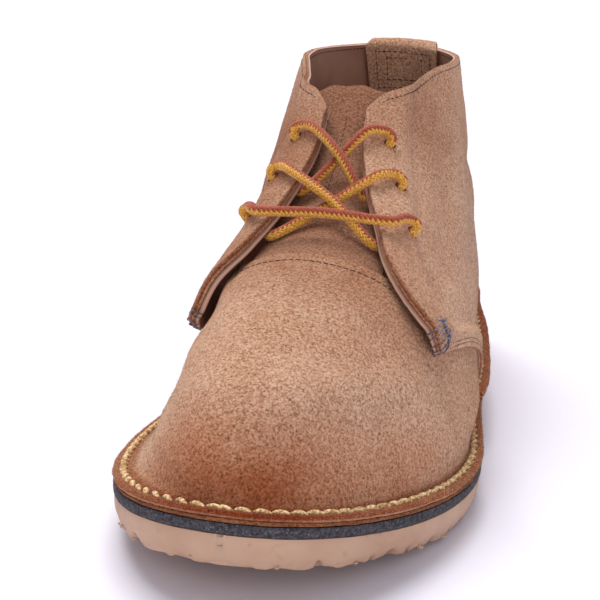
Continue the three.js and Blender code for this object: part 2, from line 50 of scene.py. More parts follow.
# ---------------------------------------------------------------- sizes of the frame, in mm
LENGTH = 300
BALL_Y, TOE_SPRING, SPRING_POWER = -55, 12.5, 1.8
HEEL_RISE, RISE_START, RISE_RUN = 10, -45, 165
ARCH, ARCH_FRONT, ARCH_BACK = 2.2, -28, 62
CREPE, RUBBER, LEATHER, FLANGE, GAP, FEATHER = 8.8, 3.2, 1.5, 2.0, 0.3, 6.3
INSOLE, INSOLE_EASE = 2.0, 2.0
WALL, FACING = 2.4, 3.2
TACK_LEVEL, TACK_BLEND, FREE, MERGED, SINK, CLEARANCE = 0.28, 0.04, 12, 24, 0.6, 0.4
HOLE_RADIUS, LACE_RADIUS, EYELET_BEHIND = 2.1, 1.75, 9.6
TAB_WIDTH, TAB_THICK, TAB_DROP, TAB_EASE = 26, 1.6, 22, 0.66
TOE_POWER, HEEL_RADIUS, COUNTER_RADIUS, HEEL_NARROWING = 2.13, 40, 42, 0.97
SETTLE, FOOT = 0.28, 0.08
BIB_TOP, BIB_FALL, BIB_REACH = 0.588, 0.19, 0.75
COLLAR_DROP, COLLAR_RUN, CORNER_DROP, CORNER_RUN = 0.05, 42, 0.03, 7
TONGUE_DEPTH = 4.3


def table(names, rows):
    """Columns of a table by name."""
    return dict(zip(names.split(), np.array(rows, float).T))


SOLE = table("share lateral medial", [
    [0.00, 58.0, 69.0],
    [0.30, 51.0, 61.0],
    [0.45, 43.5, 48.5],
    [0.60, 41.8, 38.0],
    [0.78, 37.0, 35.0],
    [0.90, 34.0, 34.5],
    [1.00, 33.5, 34.0],
])
SOLE_AXIS = table("y shift", [[-150, -2.0], [-60, 5.5], [30, 1.0], [90, -3.0], [150, -5.5]])
RING_LINES = "level yFront zFront yBack zBack "
RING_WIDTHS = "foreLat foreMed midLat midMed rearLat rearMed power leanFront leanBack"
RINGS = table(RING_LINES + RING_WIDTHS, [
    [0.00, -143.0, 24.0, 143.5, 23.0, 51.5, 50.5, 36.5, 32.0, 30.0, 29.0, 2.25, -1.0, 0.0],
    [0.08, -143.2, 31.0, 146.0, 31.5, 50.0, 49.0, 38.5, 34.0, 31.0, 30.0, 2.25, -2.0, -0.3],
    [0.18, -137.8, 41.0, 147.3, 41.5, 45.5, 43.5, 40.0, 35.5, 31.5, 30.3, 2.20, -3.5, -0.4],
    [0.28, -126.5, 51.5, 146.8, 51.5, 39.5, 38.5, 39.5, 36.0, 31.0, 30.0, 2.20, -4.5, -0.6],
    [0.40, -105.0, 61.0, 144.5, 62.5, 35.5, 35.8, 38.0, 36.0, 30.2, 29.4, 2.15, -6.0, -0.9],
    [0.52, -73.5, 69.5, 140.8, 75.0, 34.0, 34.2, 35.8, 35.6, 29.3, 28.8, 2.10, -7.0, -1.1],
    [0.64, -43.5, 78.3, 136.8, 87.5, 33.0, 32.6, 33.6, 34.4, 28.3, 28.0, 2.10, -8.0, -1.7],
    [0.76, -17.0, 88.5, 133.2, 99.5, 31.0, 30.5, 31.2, 32.8, 27.2, 27.0, 2.10, -8.8, -2.1],
    [0.88, 4.0, 99.5, 130.4, 110.0, 28.0, 28.5, 29.0, 31.0, 26.0, 26.0, 2.10, -9.3, -2.6],
    [1.00, 29.0, 117.5, 128.2, 118.5, 25.0, 25.5, 27.0, 29.0, 25.0, 25.0, 2.10, -9.6, -3.1],
])
WIDTH_SHARES = [0, 0.25, 0.55, 0.85, 1]
QUARTER_EDGE = table("level angle", [
    [0.000, 1.56], [0.080, 1.52], [0.150, 1.45], [0.210, 1.36], [0.246, 1.24], [0.268, 1.12],
    [0.290, 1.03], [0.345, 0.95], [0.450, 0.81], [0.580, 0.60], [0.680, 0.46], [0.770, 0.35],
    [0.850, 0.27], [0.920, 0.22], [1.000, 0.20],
])
VAMP_EDGE = table("level angle", [
    [0.00, 1.72], [0.15, 1.61], [0.24, 1.44], [0.30, 1.26], [0.45, 1.04], [0.60, 0.84],
])
FLARE = table("level lift", [
    [0.24, 0.3], [0.32, 2.6], [0.45, 2.2], [0.60, 0.9], [0.75, 0.1], [1.00, 0.0],
])
EYELETS = table("level angle", [[0.575, 0.78], [0.705, 0.62], [0.837, 0.49]])
TONGUE_SPAN = table("level angle", [[0.50, 0.66], [0.60, 0.66], [0.75, 0.72], [0.95, 0.85]])

# ---------------------------------------------------------------- small maths


def smooth(x):
    c = np.clip(x, 0, 1)
    return c * c * (3 - 2 * c)


def mix(a, b, share):
    return a + (b - a) * share


def chosen(values, row):
    """From each column of values, the one in the given row."""
    return np.take_along_axis(values, row[None], 0)[0]


def hermite(xs, ys, x, flat=False):
    """A smooth curve through (xs, ys), read at x; ys may itself vary from place to place."""
    xs, ys, x = np.asarray(xs, float), np.asarray(ys, float), np.asarray(x, float)
    x = np.clip(x, xs[0], xs[-1])
    if ys.ndim == 1:
        ys = ys.reshape((-1,) + (1,) * x.ndim)
    ys = np.broadcast_to(ys, (len(xs),) + x.shape)
    step = np.diff(xs).reshape((-1,) + (1,) * x.ndim)
    slope = np.diff(ys, axis=0) / step
    tangent = np.zeros(ys.shape)
    tangent[1:-1] = (slope[:-1] * step[1:] + slope[1:] * step[:-1]) / (step[1:] + step[:-1])
    if not flat:
        tangent[0], tangent[-1] = slope[0], slope[-1]
    k = np.clip(np.searchsorted(xs, x, side="right") - 1, 0, len(xs) - 2)
    h = xs[k + 1] - xs[k]
    s = (x - xs[k]) / h
    ends_part = (2 * s**3 - 3 * s**2 + 1) * chosen(ys, k) + (3 * s**2 - 2 * s**3) * chosen(ys, k + 1)
    slope_part = (s**3 - 2 * s**2 + s) * chosen(tangent, k) + (s**3 - s**2) * chosen(tangent, k + 1)
    return ends_part + h * slope_part


def read(columns, name, x):
    first = next(iter(columns))
    return hermite(columns[first], columns[name], x)


def unit(v):
    return v / np.maximum(np.linalg.norm(v, axis=-1, keepdims=True), 1e-9)


# ---------------------------------------------------------------- the sole's outline and levels
def spring(y):
    return TOE_SPRING * np.maximum(0, (BALL_Y - y) / (BALL_Y + LENGTH / 2)) ** SPRING_POWER


def arch(y):
    share = np.clip((y - ARCH_FRONT) / (ARCH_BACK - ARCH_FRONT), 0, 1)
    return ARCH * np.sin(PI * share) ** 2


def crepe_top(y):
    return CREPE + spring(y) + HEEL_RISE * smooth((y - RISE_START) / RISE_RUN)


def rubber_top(y):
    return crepe_top(y) + RUBBER


def leather_top(y):
    return rubber_top(y) + LEATHER


def flange_top(y):
    return leather_top(y) + FLANGE


def insole_top(y):
    return leather_top(y) + GAP + INSOLE


def ends(angle, power, to_back, radius):
    """Share of the full width: a superellipse over the front half, an arc round the heel."""
    front = np.abs(np.sin(angle)) ** (2 / power)
    into = np.clip(1 - to_back / radius, 0, 1)
    return np.where(np.cos(angle) > 0, front, np.sqrt(1 - into**2))


def raw_outline(angle, inset):
    share = (1 - np.cos(angle)) / 2
    y = (LENGTH - 2 * inset) * (share - 0.5)
    width = ends(angle, TOE_POWER, LENGTH / 2 - inset - y, HEEL_RADIUS)
    axis = read(SOLE_AXIS, "shift", y)
    lateral = axis + (read(SOLE, "lateral", share) - inset) * width
    medial = axis - (read(SOLE, "medial", share) - inset) * width
    return np.where(np.sin(angle) >= 0, lateral, medial), y


ALL_ROUND = raw_outline(np.arange(720) * PI / 360, 0.0)[0]
CENTRE = (ALL_ROUND.min() + ALL_ROUND.max()) / 2


def outline(angle, inset=0.0):
    x, y = raw_outline(np.asarray(angle, float), inset)
    return x - CENTRE, y


# ---------------------------------------------------------------- the upper's outer form
def form(level, angle):
    level, angle = np.broadcast_arrays(np.asarray(level, float), np.asarray(angle, float))
    share = (1 - np.cos(angle)) / 2
    lateral = np.sin(angle) >= 0
    back = read(RINGS, "yBack", level)
    y = mix(read(RINGS, "yFront", level), back, share)
    fore, mid, rear = (
        np.where(lateral, read(RINGS, part + "Lat", level), read(RINGS, part + "Med", level))
        for part in ("fore", "mid", "rear"))
    widths = np.stack([fore, fore, mid, rear, rear * HEEL_NARROWING])
    half = hermite(WIDTH_SHARES, widths, share, flat=True)
    half = half * ends(angle, read(RINGS, "power", level), back - y, COUNTER_RADIUS)
    lean = mix(read(RINGS, "leanFront", level), read(RINGS, "leanBack", level), smooth(share))
    x = np.where(lateral, half, -half) + read(SOLE_AXIS, "shift", y) + lean - CENTRE
    flat = mix(RINGS["zFront"][0], RINGS["zBack"][0], share)
    settle = np.maximum(0, 1 - level / SETTLE) * (flat - flange_top(y) + SINK)
    z = mix(read(RINGS, "zFront", level), read(RINGS, "zBack", level), share) - settle
    foot = np.maximum(0, 1 - level / FOOT)
    edge_x, edge_y = outline(angle, FEATHER)
    return np.stack([mix(x, edge_x, foot), mix(y, edge_y, foot), z], -1)


def outward(level, angle):
    """Outward direction of the form, kept level at its foot."""
    step = 0.01
    up = form(np.minimum(level + step, 1), angle) - form(np.maximum(level - step, 0), angle)
    across = form(level, angle + step) - form(level, angle - step)
    normal = np.cross(across, up)
    normal[..., 2] *= smooth(np.asarray(level) / FOOT)
    return unit(normal)


def over(level, angle, height):
    level, angle, height = np.broadcast_arrays(level, angle, np.asarray(height, float))
    return form(level, angle) + outward(level, angle) * height[..., None]


def collar_top(behind):
    drop = COLLAR_DROP * (1 - smooth(behind / COLLAR_RUN))
    return 1 - drop - CORNER_DROP * np.maximum(0, 1 - behind / CORNER_RUN) ** 2


def quarter_heights(level, behind):
    """Underside and face of a quarter over the form, by level and distance behind its front edge."""
    free = smooth((level - TACK_LEVEL + TACK_BLEND / 4) / TACK_BLEND)
    merged = smooth((behind - FREE) / (MERGED - FREE))
    flare = read(FLARE, "lift", level) * (1 - smooth(behind / MERGED))
    under = mix(mix(-SINK, CLEARANCE + flare, free), -WALL, merged)
    thick = mix(mix(WALL, FACING, free), WALL, merged)
    return under, under + thick


def bib_top(angle):
    return BIB_TOP - BIB_FALL * np.minimum(np.abs(angle), BIB_REACH) ** 2


def edge_angle(level):
    return read(QUARTER_EDGE, "angle", level)


# ---------------------------------------------------------------- creases and unevenness
# Soft troughs (depth above 0) and ridges (below 0), from one place on the form to another.
CREASES = table("level0 angle0 level1 angle1 width depth", [
    [0.30, -1.10, 0.36, -0.55, 6.0, 1.05],
    [0.25, -1.15, 0.29, -0.60, 7.0, -0.63],
    [0.34, -0.45, 0.40, 0.35, 9.0, 0.49],
    [0.21, -1.20, 0.20, -0.80, 6.0, 0.84],
    [0.33, 0.45, 0.27, 0.95, 6.0, 0.84],
    [0.28, 0.30, 0.22, 0.85, 7.0, -0.56],
    [0.19, 0.95, 0.13, 1.25, 5.0, 0.77],
    [0.17, -0.35, 0.16, 0.40, 12.0, 0.63],
    [0.46, -0.50, 0.50, 0.10, 7.0, 0.42],
    [0.42, 0.30, 0.37, 0.70, 6.0, 0.49],
    [0.45, 1.20, 0.75, 1.25, 6.0, 0.98],
    [0.50, 1.45, 0.85, 1.55, 7.0, -0.84],
    [0.35, 1.55, 0.70, 1.75, 7.0, 0.77],
    [0.60, 1.90, 0.56, 2.60, 6.0, 1.12],
    [0.48, 2.00, 0.44, 2.75, 7.0, -0.70],
    [0.45, 5.08, 0.75, 5.03, 6.0, 0.84],
    [0.35, 4.73, 0.70, 4.53, 7.0, 0.84],
    [0.60, 4.38, 0.56, 3.68, 6.0, 1.12],
    [0.42, 3.40, 0.40, 2.85, 8.0, 0.63],
])
CREASE_STOPS = 9


def wander(points, size, seed):
    """A slow, smooth unevenness between about -1 and 1, with features of the given size in mm."""
    source = np.random.default_rng(seed)
    total = np.zeros(points.shape[:-1])
    for _ in range(5):
        direction = unit(source.normal(size=3)) * 2 * PI / (size * source.uniform(0.8, 1.7))
        total = total + np.sin(points @ direction + source.uniform(0, 2 * PI))
    return total / 3


def relief(points):
    """Height added to the suede at points on the form, in mm."""
    height = 0.28 * wander(points, 38, 3) + 0.10 * wander(points, 13, 4)
    for row in zip(*CREASES.values()):
        level0, angle0, level1, angle1, width, depth = row
        share = np.linspace(0, 1, CREASE_STOPS)
        line = form(mix(level0, level1, share), mix(angle0, angle1, share))
        line = line + 1.5 * wander(line, 22, 5)[:, None]
        strength = np.zeros(points.shape[:-1])
        for start, end in zip(line[:-1], line[1:]):
            run = end - start
            along = np.clip((points - start) @ run / (run @ run), 0, 1)
            away = np.linalg.norm(points - start - along[..., None] * run, axis=-1)
            strength = np.maximum(strength, np.exp(-(away / width) ** 2))
        height = height - depth * strength
    return height


def skin(level, angle, height):
    """Points over the form with its creases, which die out at the foot."""
    level, angle = np.broadcast_arrays(np.asarray(level, float), np.asarray(angle, float))
    base = form(level, angle)
    total = height + relief(base) * smooth(level / 0.07)
    return base + outward(level, angle) * np.asarray(total)[..., None]


# ---------------------------------------------------------------- meshes
def to_mesh(name, points, faces, material, replaces=(), sharp=55):
    """A mesh object from points in mm. It rides on the boot's one body."""
    mesh = bpy.data.meshes.new(name)
    mesh.from_pydata((np.asarray(points, float) * MM).tolist(), [], faces)
    work = bmesh.new()
    work.from_mesh(mesh)
    bmesh.ops.recalc_face_normals(work, faces=work.faces)
    work.to_mesh(mesh)
    work.free()
    mesh.shade_smooth()
    if sharp:
        mesh.set_sharp_from_angle(angle=math.radians(sharp))
    mesh.materials.append(material)
    piece = bpy.data.objects.new(name, mesh)
    bpy.context.scene.collection.objects.link(piece)
    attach(piece, "root")
    if replaces:
        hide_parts(*replaces)
    return piece


def grid_faces(rows, columns, start=0, closed=False):
    index = start + np.arange(rows * columns).reshape(rows, columns)
    right = np.roll(index, -1, axis=1) if closed else index[:, 1:]
    left = index if closed else index[:, :-1]
    return np.stack([left[:-1], right[:-1], right[1:], left[1:]], -1).reshape(-1, 4).tolist()


def rim_of(rows, columns):
    """Index of the grid's border, once round."""
    index = np.arange(rows * columns).reshape(rows, columns)
    return np.concatenate([index[0, :-1], index[:-1, -1], index[-1, :0:-1], index[:0:-1, 0]])


def inner_of(rows, columns):
    """For each point of rim_of, its neighbour one step in from the border."""
    rim = rim_of(rows, columns)
    return np.clip(rim // columns, 1, rows - 2) * columns + np.clip(rim % columns, 1, columns - 2)


def sheet(name, front, back, material, replaces=(), worn=None, roundness=0.35):
    """A solid sheet between two grids of points, with a rounded border.

    The mesh attribute "worn" is as given on the front, -1 on the hidden back and 1 on the cut border.
    """
    rows, columns = front.shape[:2]
    count = rows * columns
    f, b = front.reshape(-1, 3), back.reshape(-1, 3)
    faces = grid_faces(rows, columns)
    faces += [face[::-1] for face in grid_faces(rows, columns, count)]
    rim, inner = rim_of(rows, columns), inner_of(rows, columns)
    middle = (f[rim] + b[rim]) / 2
    thick = np.linalg.norm(f[rim] - b[rim], axis=1, keepdims=True)
    out = unit(middle - (f[inner] + b[inner]) / 2)
    border = middle + out * thick * roundness
    after = np.roll(rim, -1)
    here = 2 * count + np.arange(len(rim))
    there = np.roll(here, -1)
    faces += np.stack([after, rim, here, there], -1).tolist()
    faces += np.stack([there, here, rim + count, after + count], -1).tolist()
    piece = to_mesh(name, np.concatenate([f, b, border]), faces, material, replaces)
    shown = np.zeros(count) if worn is None else worn.ravel()
    values = np.concatenate([shown, np.full(count, -1.0), np.ones(len(rim))])
    piece.data.attributes.new("worn", "FLOAT", "POINT").data.foreach_set("value", values)
    return piece


def resample(path, step):
    """A path at even steps, with its length."""
    path = np.asarray(path, float)
    run = np.concatenate([[0], np.cumsum(np.linalg.norm(np.diff(path, axis=0), axis=1))])
    keep = np.concatenate([[True], np.diff(run) > 1e-6])
    run, path = run[keep], path[keep]
    count = max(2, int(round(run[-1] / step)) + 1)
    at = np.linspace(0, run[-1], count)
    return np.stack([np.interp(at, run, path[:, i]) for i in range(path.shape[1])], -1), run[-1]


def curve_through(stops, step):
    """A smooth path through given stops, at even steps."""
    stops = np.asarray(stops, float)
    gaps = np.linalg.norm(np.diff(stops, axis=0), axis=1) ** 0.5
    knots = np.concatenate([[0], np.cumsum(gaps)])
    at = np.linspace(0, knots[-1], 40 * len(stops))
    fine = np.stack([hermite(knots, stops[:, i], at) for i in range(3)], -1)
    return resample(fine, step)


def frames_along(path, first):
    """Tangent and two normals at each point of a path, carried along without twist."""
    tangent = unit(np.gradient(path, axis=0))
    normals = np.zeros(path.shape)
    normal = first - tangent[0] * (first @ tangent[0])
    for i, t in enumerate(tangent):
        normal = normal - t * (normal @ t)
        normal = normal / np.linalg.norm(normal)
        normals[i] = normal
    return tangent, normals, np.cross(tangent, normals)


def tube_points(path, normals, binormals, radius, sides):
    turn = np.arange(sides) * 2 * PI / sides
    ring = normals[:, None] * np.cos(turn)[None, :, None] + binormals[:, None] * np.sin(turn)[None, :, None]
    radius = np.asarray(radius, float)
    radius = radius if radius.ndim == 2 else radius.reshape(-1, 1)
    return path[:, None] + ring * radius[..., None]


def tube_faces(rows, sides):
    first_end = list(range(sides))[::-1]
    last_end = [(rows - 1) * sides + i for i in range(sides)]
    return grid_faces(rows, sides, closed=True) + [first_end, last_end]


def merge(parts):
    """Points and faces of many small closed shapes as one."""
    points, faces, start = [], [], 0
    for some_points, some_faces in parts:
        points.append(some_points.reshape(-1, 3))
        faces += [[i + start for i in face] for face in some_faces]
        start += len(points[-1])
    return np.concatenate(points), faces


# ---------------------------------------------------------------- materials
class Finish:
    """A node material built by short calls. Positions are the piece's own, in mm."""

    def __init__(self, name, **surface):
        self.material = bpy.data.materials.new(name)
        self.material.use_nodes = True
        self.nodes = self.material.node_tree.nodes
        self.links = self.material.node_tree.links
        self.shader = self.nodes["Principled BSDF"]
        for key, value in surface.items():
            self.shader.inputs[key.replace("_", " ")].default_value = value
        place = self.nodes.new("ShaderNodeTexCoord")
        scale = self.nodes.new("ShaderNodeVectorMath")
        scale.operation = "SCALE"
        scale.inputs["Scale"].default_value = 1 / MM
        self.links.new(place.outputs["Object"], scale.inputs[0])
        self.place = scale.outputs[0]

    def put(self, value, socket):
        if isinstance(value, bpy.types.NodeSocket):
            self.links.new(value, socket)
        else:
            socket.default_value = value

    def noise(self, size, detail=3.0, rough=0.55, stretch=None, distort=0.0):
        """Noise with features about this many mm across."""
        node = self.nodes.new("ShaderNodeTexNoise")
        node.inputs["Scale"].default_value = 0.5 / size
        node.inputs["Detail"].default_value = detail
        node.inputs["Roughness"].default_value = rough
        node.inputs["Distortion"].default_value = distort
        place = self.place
        if stretch:
            node_map = self.nodes.new("ShaderNodeMapping")
            node_map.inputs["Scale"].default_value = stretch
            self.links.new(self.place, node_map.inputs["Vector"])
            place = node_map.outputs[0]
        self.links.new(place, node.inputs["Vector"])
        return node.outputs["Fac"]

    def cells(self, size):
        node = self.nodes.new("ShaderNodeTexVoronoi")
        node.inputs["Scale"].default_value = 1 / size
        self.links.new(self.place, node.inputs["Vector"])
        return node.outputs["Distance"]

    def remap(self, value, low, high, to_low=0.0, to_high=1.0):
        node = self.nodes.new("ShaderNodeMapRange")
        node.interpolation_type = "SMOOTHSTEP"
        self.links.new(value, node.inputs["Value"])
        for key, number in zip(("From Min", "From Max", "To Min", "To Max"), (low, high, to_low, to_high)):
            node.inputs[key].default_value = number
        return node.outputs[0]

    def math(self, operation, a, b=0.0):
        node = self.nodes.new("ShaderNodeMath")
        node.operation = operation
        self.put(a, node.inputs[0])
        self.put(b, node.inputs[1])
        return node.outputs[0]

    def vector(self, operation, a, b=(0, 0, 0)):
        node = self.nodes.new("ShaderNodeVectorMath")
        node.operation = operation
        self.put(a, node.inputs[0])
        self.put(b, node.inputs[1])
        return node

    def blend(self, share, a, b, mode="MIX"):
        node = self.nodes.new("ShaderNodeMix")
        node.data_type = "RGBA"
        node.blend_type = mode
        self.put(share, node.inputs[0])
        self.put(a, node.inputs[6])
        self.put(b, node.inputs[7])
        return node.outputs[2]

    def tinted(self, share, colour, tint):
        """The colour multiplied by a tint, as much as the share says."""
        return self.blend(share, colour, tint, "MULTIPLY")

    def near(self, place, reach, size=(1, 1, 1)):
        """1 at a place on the boot, falling to 0 at this reach, in mm."""
        away = self.vector("SUBTRACT", self.place, place).outputs[0]
        squashed = self.vector("DIVIDE", away, size).outputs[0]
        return self.remap(self.vector("LENGTH", squashed).outputs["Value"], reach, 0)

    def attribute(self, name):
        node = self.nodes.new("ShaderNodeAttribute")
        node.attribute_name = name
        return node.outputs["Fac"]

    def uv(self, name):
        node = self.nodes.new("ShaderNodeUVMap")
        node.uv_map = name
        split = self.nodes.new("ShaderNodeSeparateXYZ")
        self.links.new(node.outputs[0], split.inputs[0])
        return split.outputs["X"], split.outputs["Y"]

    def colour(self, value):
        self.put(value, self.shader.inputs["Base Color"])

    def rough(self, value):
        self.put(value, self.shader.inputs["Roughness"])

    def bump(self, height, depth, strength=1.0, onto=None):
        """Height 0..1 over this depth in mm."""
        node = self.nodes.new("ShaderNodeBump")
        node.inputs["Strength"].default_value = strength
        node.inputs["Distance"].default_value = depth * MM
        self.links.new(height, node.inputs["Height"])
        if onto:
            self.links.new(onto, node.inputs["Normal"])
        self.links.new(node.outputs[0], self.shader.inputs["Normal"])
        return node.outputs[0]


def rgb(red, green, blue):
    """A colour given as it looks on screen, 0 to 255, as linear light."""
    linear = [c / 12.92 if c <= 0.04045 else ((c + 0.055) / 1.055) ** 2.4
              for c in (red / 255, green / 255, blue / 255)]
    return (*linear, 1.0)


def suede(name, light, mid, dark, patches_and_shade=True):
    """Rough-out leather: fine tufts with dark gaps, slow clouds, darker or redder places, darker worn edges.
    """
    f = Finish(name, Roughness=0.95, Specular_IOR_Level=0.10, Sheen_Weight=0.2,
               Sheen_Roughness=0.5, Sheen_Tint=rgb(240, 208, 180))
    nap = f.noise(0.20, 3.0, 0.65)
    tufts = f.noise(0.30, 3.0, 0.6)
    pebble = f.remap(f.cells(0.75), 0.20, 0.75, 1.0, 0.0)
    clumps = f.noise(0.55, 4.0, 0.62)
    cloud = f.noise(15, 3.0, 0.5)
    mottle = f.math("ADD", f.math("MULTIPLY", nap, 0.35), f.math("MULTIPLY", tufts, 0.65))
    mottle = f.math("ADD", f.math("MULTIPLY", mottle, 0.88), f.math("MULTIPLY", pebble, 0.12))
    base = f.blend(f.remap(mottle, 0.34, 0.60), mid, light)
    base = f.blend(f.remap(mottle, 0.43, 0.30, 0, 0.75), base, dark)
    base = f.tinted(f.remap(clumps, 0.58, 0.38, 0, 0.6), base, rgb(208, 178, 156))
    base = f.tinted(f.remap(cloud, 0.35, 0.65, 0.0, 0.4), base, rgb(226, 198, 176))
    if patches_and_shade:
        # Darker or redder places; the one on the medial quarter is painted shade.
        edge_noise = f.remap(f.noise(8, 3.0), 0.28, 0.62, 0.7, 1.0)
        for place, reach, size, strength, tint in SUEDE_PATCHES_AND_SHADE:
            mask = f.math("MULTIPLY", f.near(place, reach, size), edge_noise)
            base = f.tinted(f.math("MULTIPLY", mask, strength), base, tint)
    worn = f.attribute("worn")
    base = f.tinted(f.remap(worn, 0.0, 1.0), base, rgb(200, 150, 116))
    f.colour(base)
    first = f.bump(clumps, 0.6, 0.9)
    second = f.bump(mottle, 0.4, 0.8, first)
    f.bump(nap, 0.16, 0.7, second)
    return f.material


# Where the suede is darker or redder, one place of it painted shade: place and reach in mm, stretch, strength
# and tint.
REDDER = rgb(228, 176, 140)
DARKER = rgb(196, 162, 138)
COOLER = rgb(236, 242, 255)
SUEDE_PATCHES_AND_SHADE = [
    # Painted shade: the medial quarter darkened as if a neighbouring boot shaded it.
    ((-36, 10, 84), 80, (0.6, 1.3, 1.0), 0.95, DARKER),
    ((4, -143, 30), 52, (1.4, 0.8, 0.6), 0.95, REDDER),
    ((6, -141, 33), 36, (1.6, 0.8, 0.6), 0.50, DARKER),
    ((36, -104, 26), 34, (0.6, 1.3, 0.5), 0.60, REDDER),
    ((-44, -60, 26), 30, (0.5, 1.3, 0.5), 0.55, REDDER),
    ((2, -60, 72), 46, (1.4, 0.9, 0.8), 0.80, DARKER),
    ((46, 40, 84), 90, (0.5, 1.2, 1.0), 0.80, COOLER),
    ((-46, 40, 84), 90, (0.5, 1.2, 1.0), 0.60, COOLER),
    ((-22, 30, 90), 26, (0.7, 1.0, 1.0), 0.45, REDDER),
    ((16, 34, 104), 42, (1.0, 1.2, 0.8), 0.60, DARKER),
    ((-14, 135, 60), 60, (1.2, 0.7, 1.0), 0.45, REDDER),
    ((34, 60, 30), 60, (0.5, 1.6, 0.35), 0.50, REDDER),
    ((-40, 60, 30), 60, (0.5, 1.6, 0.35), 0.50, REDDER),
]
SUEDE = suede("suede", rgb(228, 190, 162), rgb(182, 137, 108), rgb(88, 54, 34))
# The tongue's suede and nap are darker copies: painted shade of the tongue sunk between the facings.
SUEDE_TONGUE_SHADED = suede("suede_tongue_shaded", rgb(178, 132, 106), rgb(136, 95, 72), rgb(66, 40, 30), patches_and_shade=False)
SUEDE_NAP = suede("suede_nap", rgb(244, 210, 182), rgb(202, 158, 128), rgb(124, 82, 56))
TONGUE_NAP_SHADED = suede("tongue_nap_shaded", rgb(192, 146, 118), rgb(150, 106, 82), rgb(92, 58, 42), patches_and_shade=False)


def raw_edge():
    """Cut edge of suede or sole leather: reddish brown fibres in layers."""
    f = Finish("raw_edge", Roughness=0.95, Specular_IOR_Level=0.1)
    fibres = f.noise(0.5, 4.0, 0.7, stretch=(1, 1, 2.6))
    tone = f.noise(6, 2.0)
    base = f.blend(f.remap(fibres, 0.34, 0.62), rgb(92, 54, 36), rgb(166, 108, 74))
    base = f.blend(f.remap(tone, 0.4, 0.65, 0, 0.4), base, rgb(122, 70, 45))
    f.colour(base)
    f.bump(fibres, 0.5, 0.9)
    return f.material


def lining():
    """Smooth brown leather with a fine grain, paler at its cut edges."""
    f = Finish("lining", Roughness=0.5, Specular_IOR_Level=0.35)
    grain = f.cells(1.1)
    cloud = f.noise(12, 3.0)
    base = f.blend(f.remap(cloud, 0.3, 0.7), rgb(152, 108, 89), rgb(180, 134, 112))
    f.colour(f.blend(f.remap(f.attribute("worn"), 0.0, 0.8), base, rgb(206, 172, 150)))
    f.rough(f.remap(cloud, 0.3, 0.7, 0.48, 0.62))
    f.bump(grain, 0.12, 0.5)
    return f.material


def crepe():
    """Pinkish crepe rubber, slightly clouded, pitted and marked."""
    f = Finish("crepe", Roughness=0.55, Specular_IOR_Level=0.35, Subsurface_Weight=0.12,
               Subsurface_Radius=(0.004, 0.002, 0.001), Subsurface_Scale=0.5)
    cloud = f.noise(16, 3.0)
    grain = f.noise(1.0, 4.0, 0.65)
    pits = f.remap(f.cells(5.5), 0.07, 0.16)
    marks = f.remap(f.noise(5.0, 3.0, 0.6, distort=1.5), 0.60, 0.72, 0, 0.3)
    base = f.blend(f.remap(cloud, 0.3, 0.7), rgb(186, 146, 120), rgb(202, 166, 140))
    base = f.blend(marks, base, rgb(176, 134, 106))
    base = f.blend(f.math("MULTIPLY", f.math("SUBTRACT", 1.0, pits), 0.35), base, rgb(170, 120, 88))
    f.colour(base)
    f.rough(f.remap(grain, 0.3, 0.7, 0.5, 0.68))
    first = f.bump(pits, 0.25, 0.5)
    f.bump(grain, 0.10, 0.45, first)
    return f.material


def grey_rubber():
    """Dark rubber with paler specks."""
    f = Finish("grey_rubber", Roughness=0.8, Specular_IOR_Level=0.25)
    grit = f.noise(0.45, 4.0, 0.7)
    specks = f.remap(f.cells(1.15), 0.30, 0.14)
    base = f.blend(f.remap(grit, 0.36, 0.64), rgb(44, 42, 45), rgb(84, 81, 86))
    base = f.blend(f.math("MULTIPLY", specks, 0.5), base, rgb(132, 130, 138))
    f.colour(base)
    f.bump(grit, 0.3, 0.8)
    return f.material


def thread(name, dark, light, size=0.4):
    """Twisted sewing thread, with plies about this many mm across."""
    f = Finish(name, Roughness=0.6, Specular_IOR_Level=0.3)
    ply = f.noise(size, 2.0, stretch=(1.5, 0.8, 2.2))
    f.colour(f.blend(f.remap(ply, 0.38, 0.62), dark, light))
    f.bump(ply, 0.2, 0.8)
    return f.material


BRAID_PITCH = 1.5


def braid():
    """Two-coloured round braid, by its run along (u, in mm) and its turn round (v, 0 to 1)."""
    f = Finish("braid", Roughness=0.75, Specular_IOR_Level=0.25, Sheen_Weight=0.15)
    along, turn = f.uv("braid")
    tooth = f.math("PINGPONG", f.math("DIVIDE", along, BRAID_PITCH), 0.5)
    edge = f.math("ADD", turn, f.math("MULTIPLY", tooth, 0.20))
    side = f.math("PINGPONG", f.math("ADD", edge, 0.25), 0.5)
    rust = f.remap(side, 0.25, 0.27)
    # Painted shade: the colour darkens in the grooves between the braid's lumps.
    weave = f.math("ADD", f.math("DIVIDE", along, BRAID_PITCH), 0.9)
    slant = f.math("MULTIPLY", f.math("PINGPONG", f.math("MULTIPLY", turn, 6.0), 0.5), 1.8)
    groove_shade = f.math("PINGPONG", f.math("SUBTRACT", weave, slant), 0.5)
    fibres = f.noise(0.25, 3.0, 0.7)
    gold = f.blend(f.remap(fibres, 0.35, 0.65), rgb(206, 136, 34), rgb(252, 204, 104))
    red = f.blend(f.remap(fibres, 0.35, 0.65), rgb(138, 54, 32), rgb(190, 98, 66))
    f.colour(f.tinted(f.remap(groove_shade, 0.25, 0.5, 0, 0.8), f.blend(rust, gold, red), rgb(190, 140, 104)))
    f.bump(fibres, 0.15, 0.6)
    return f.material


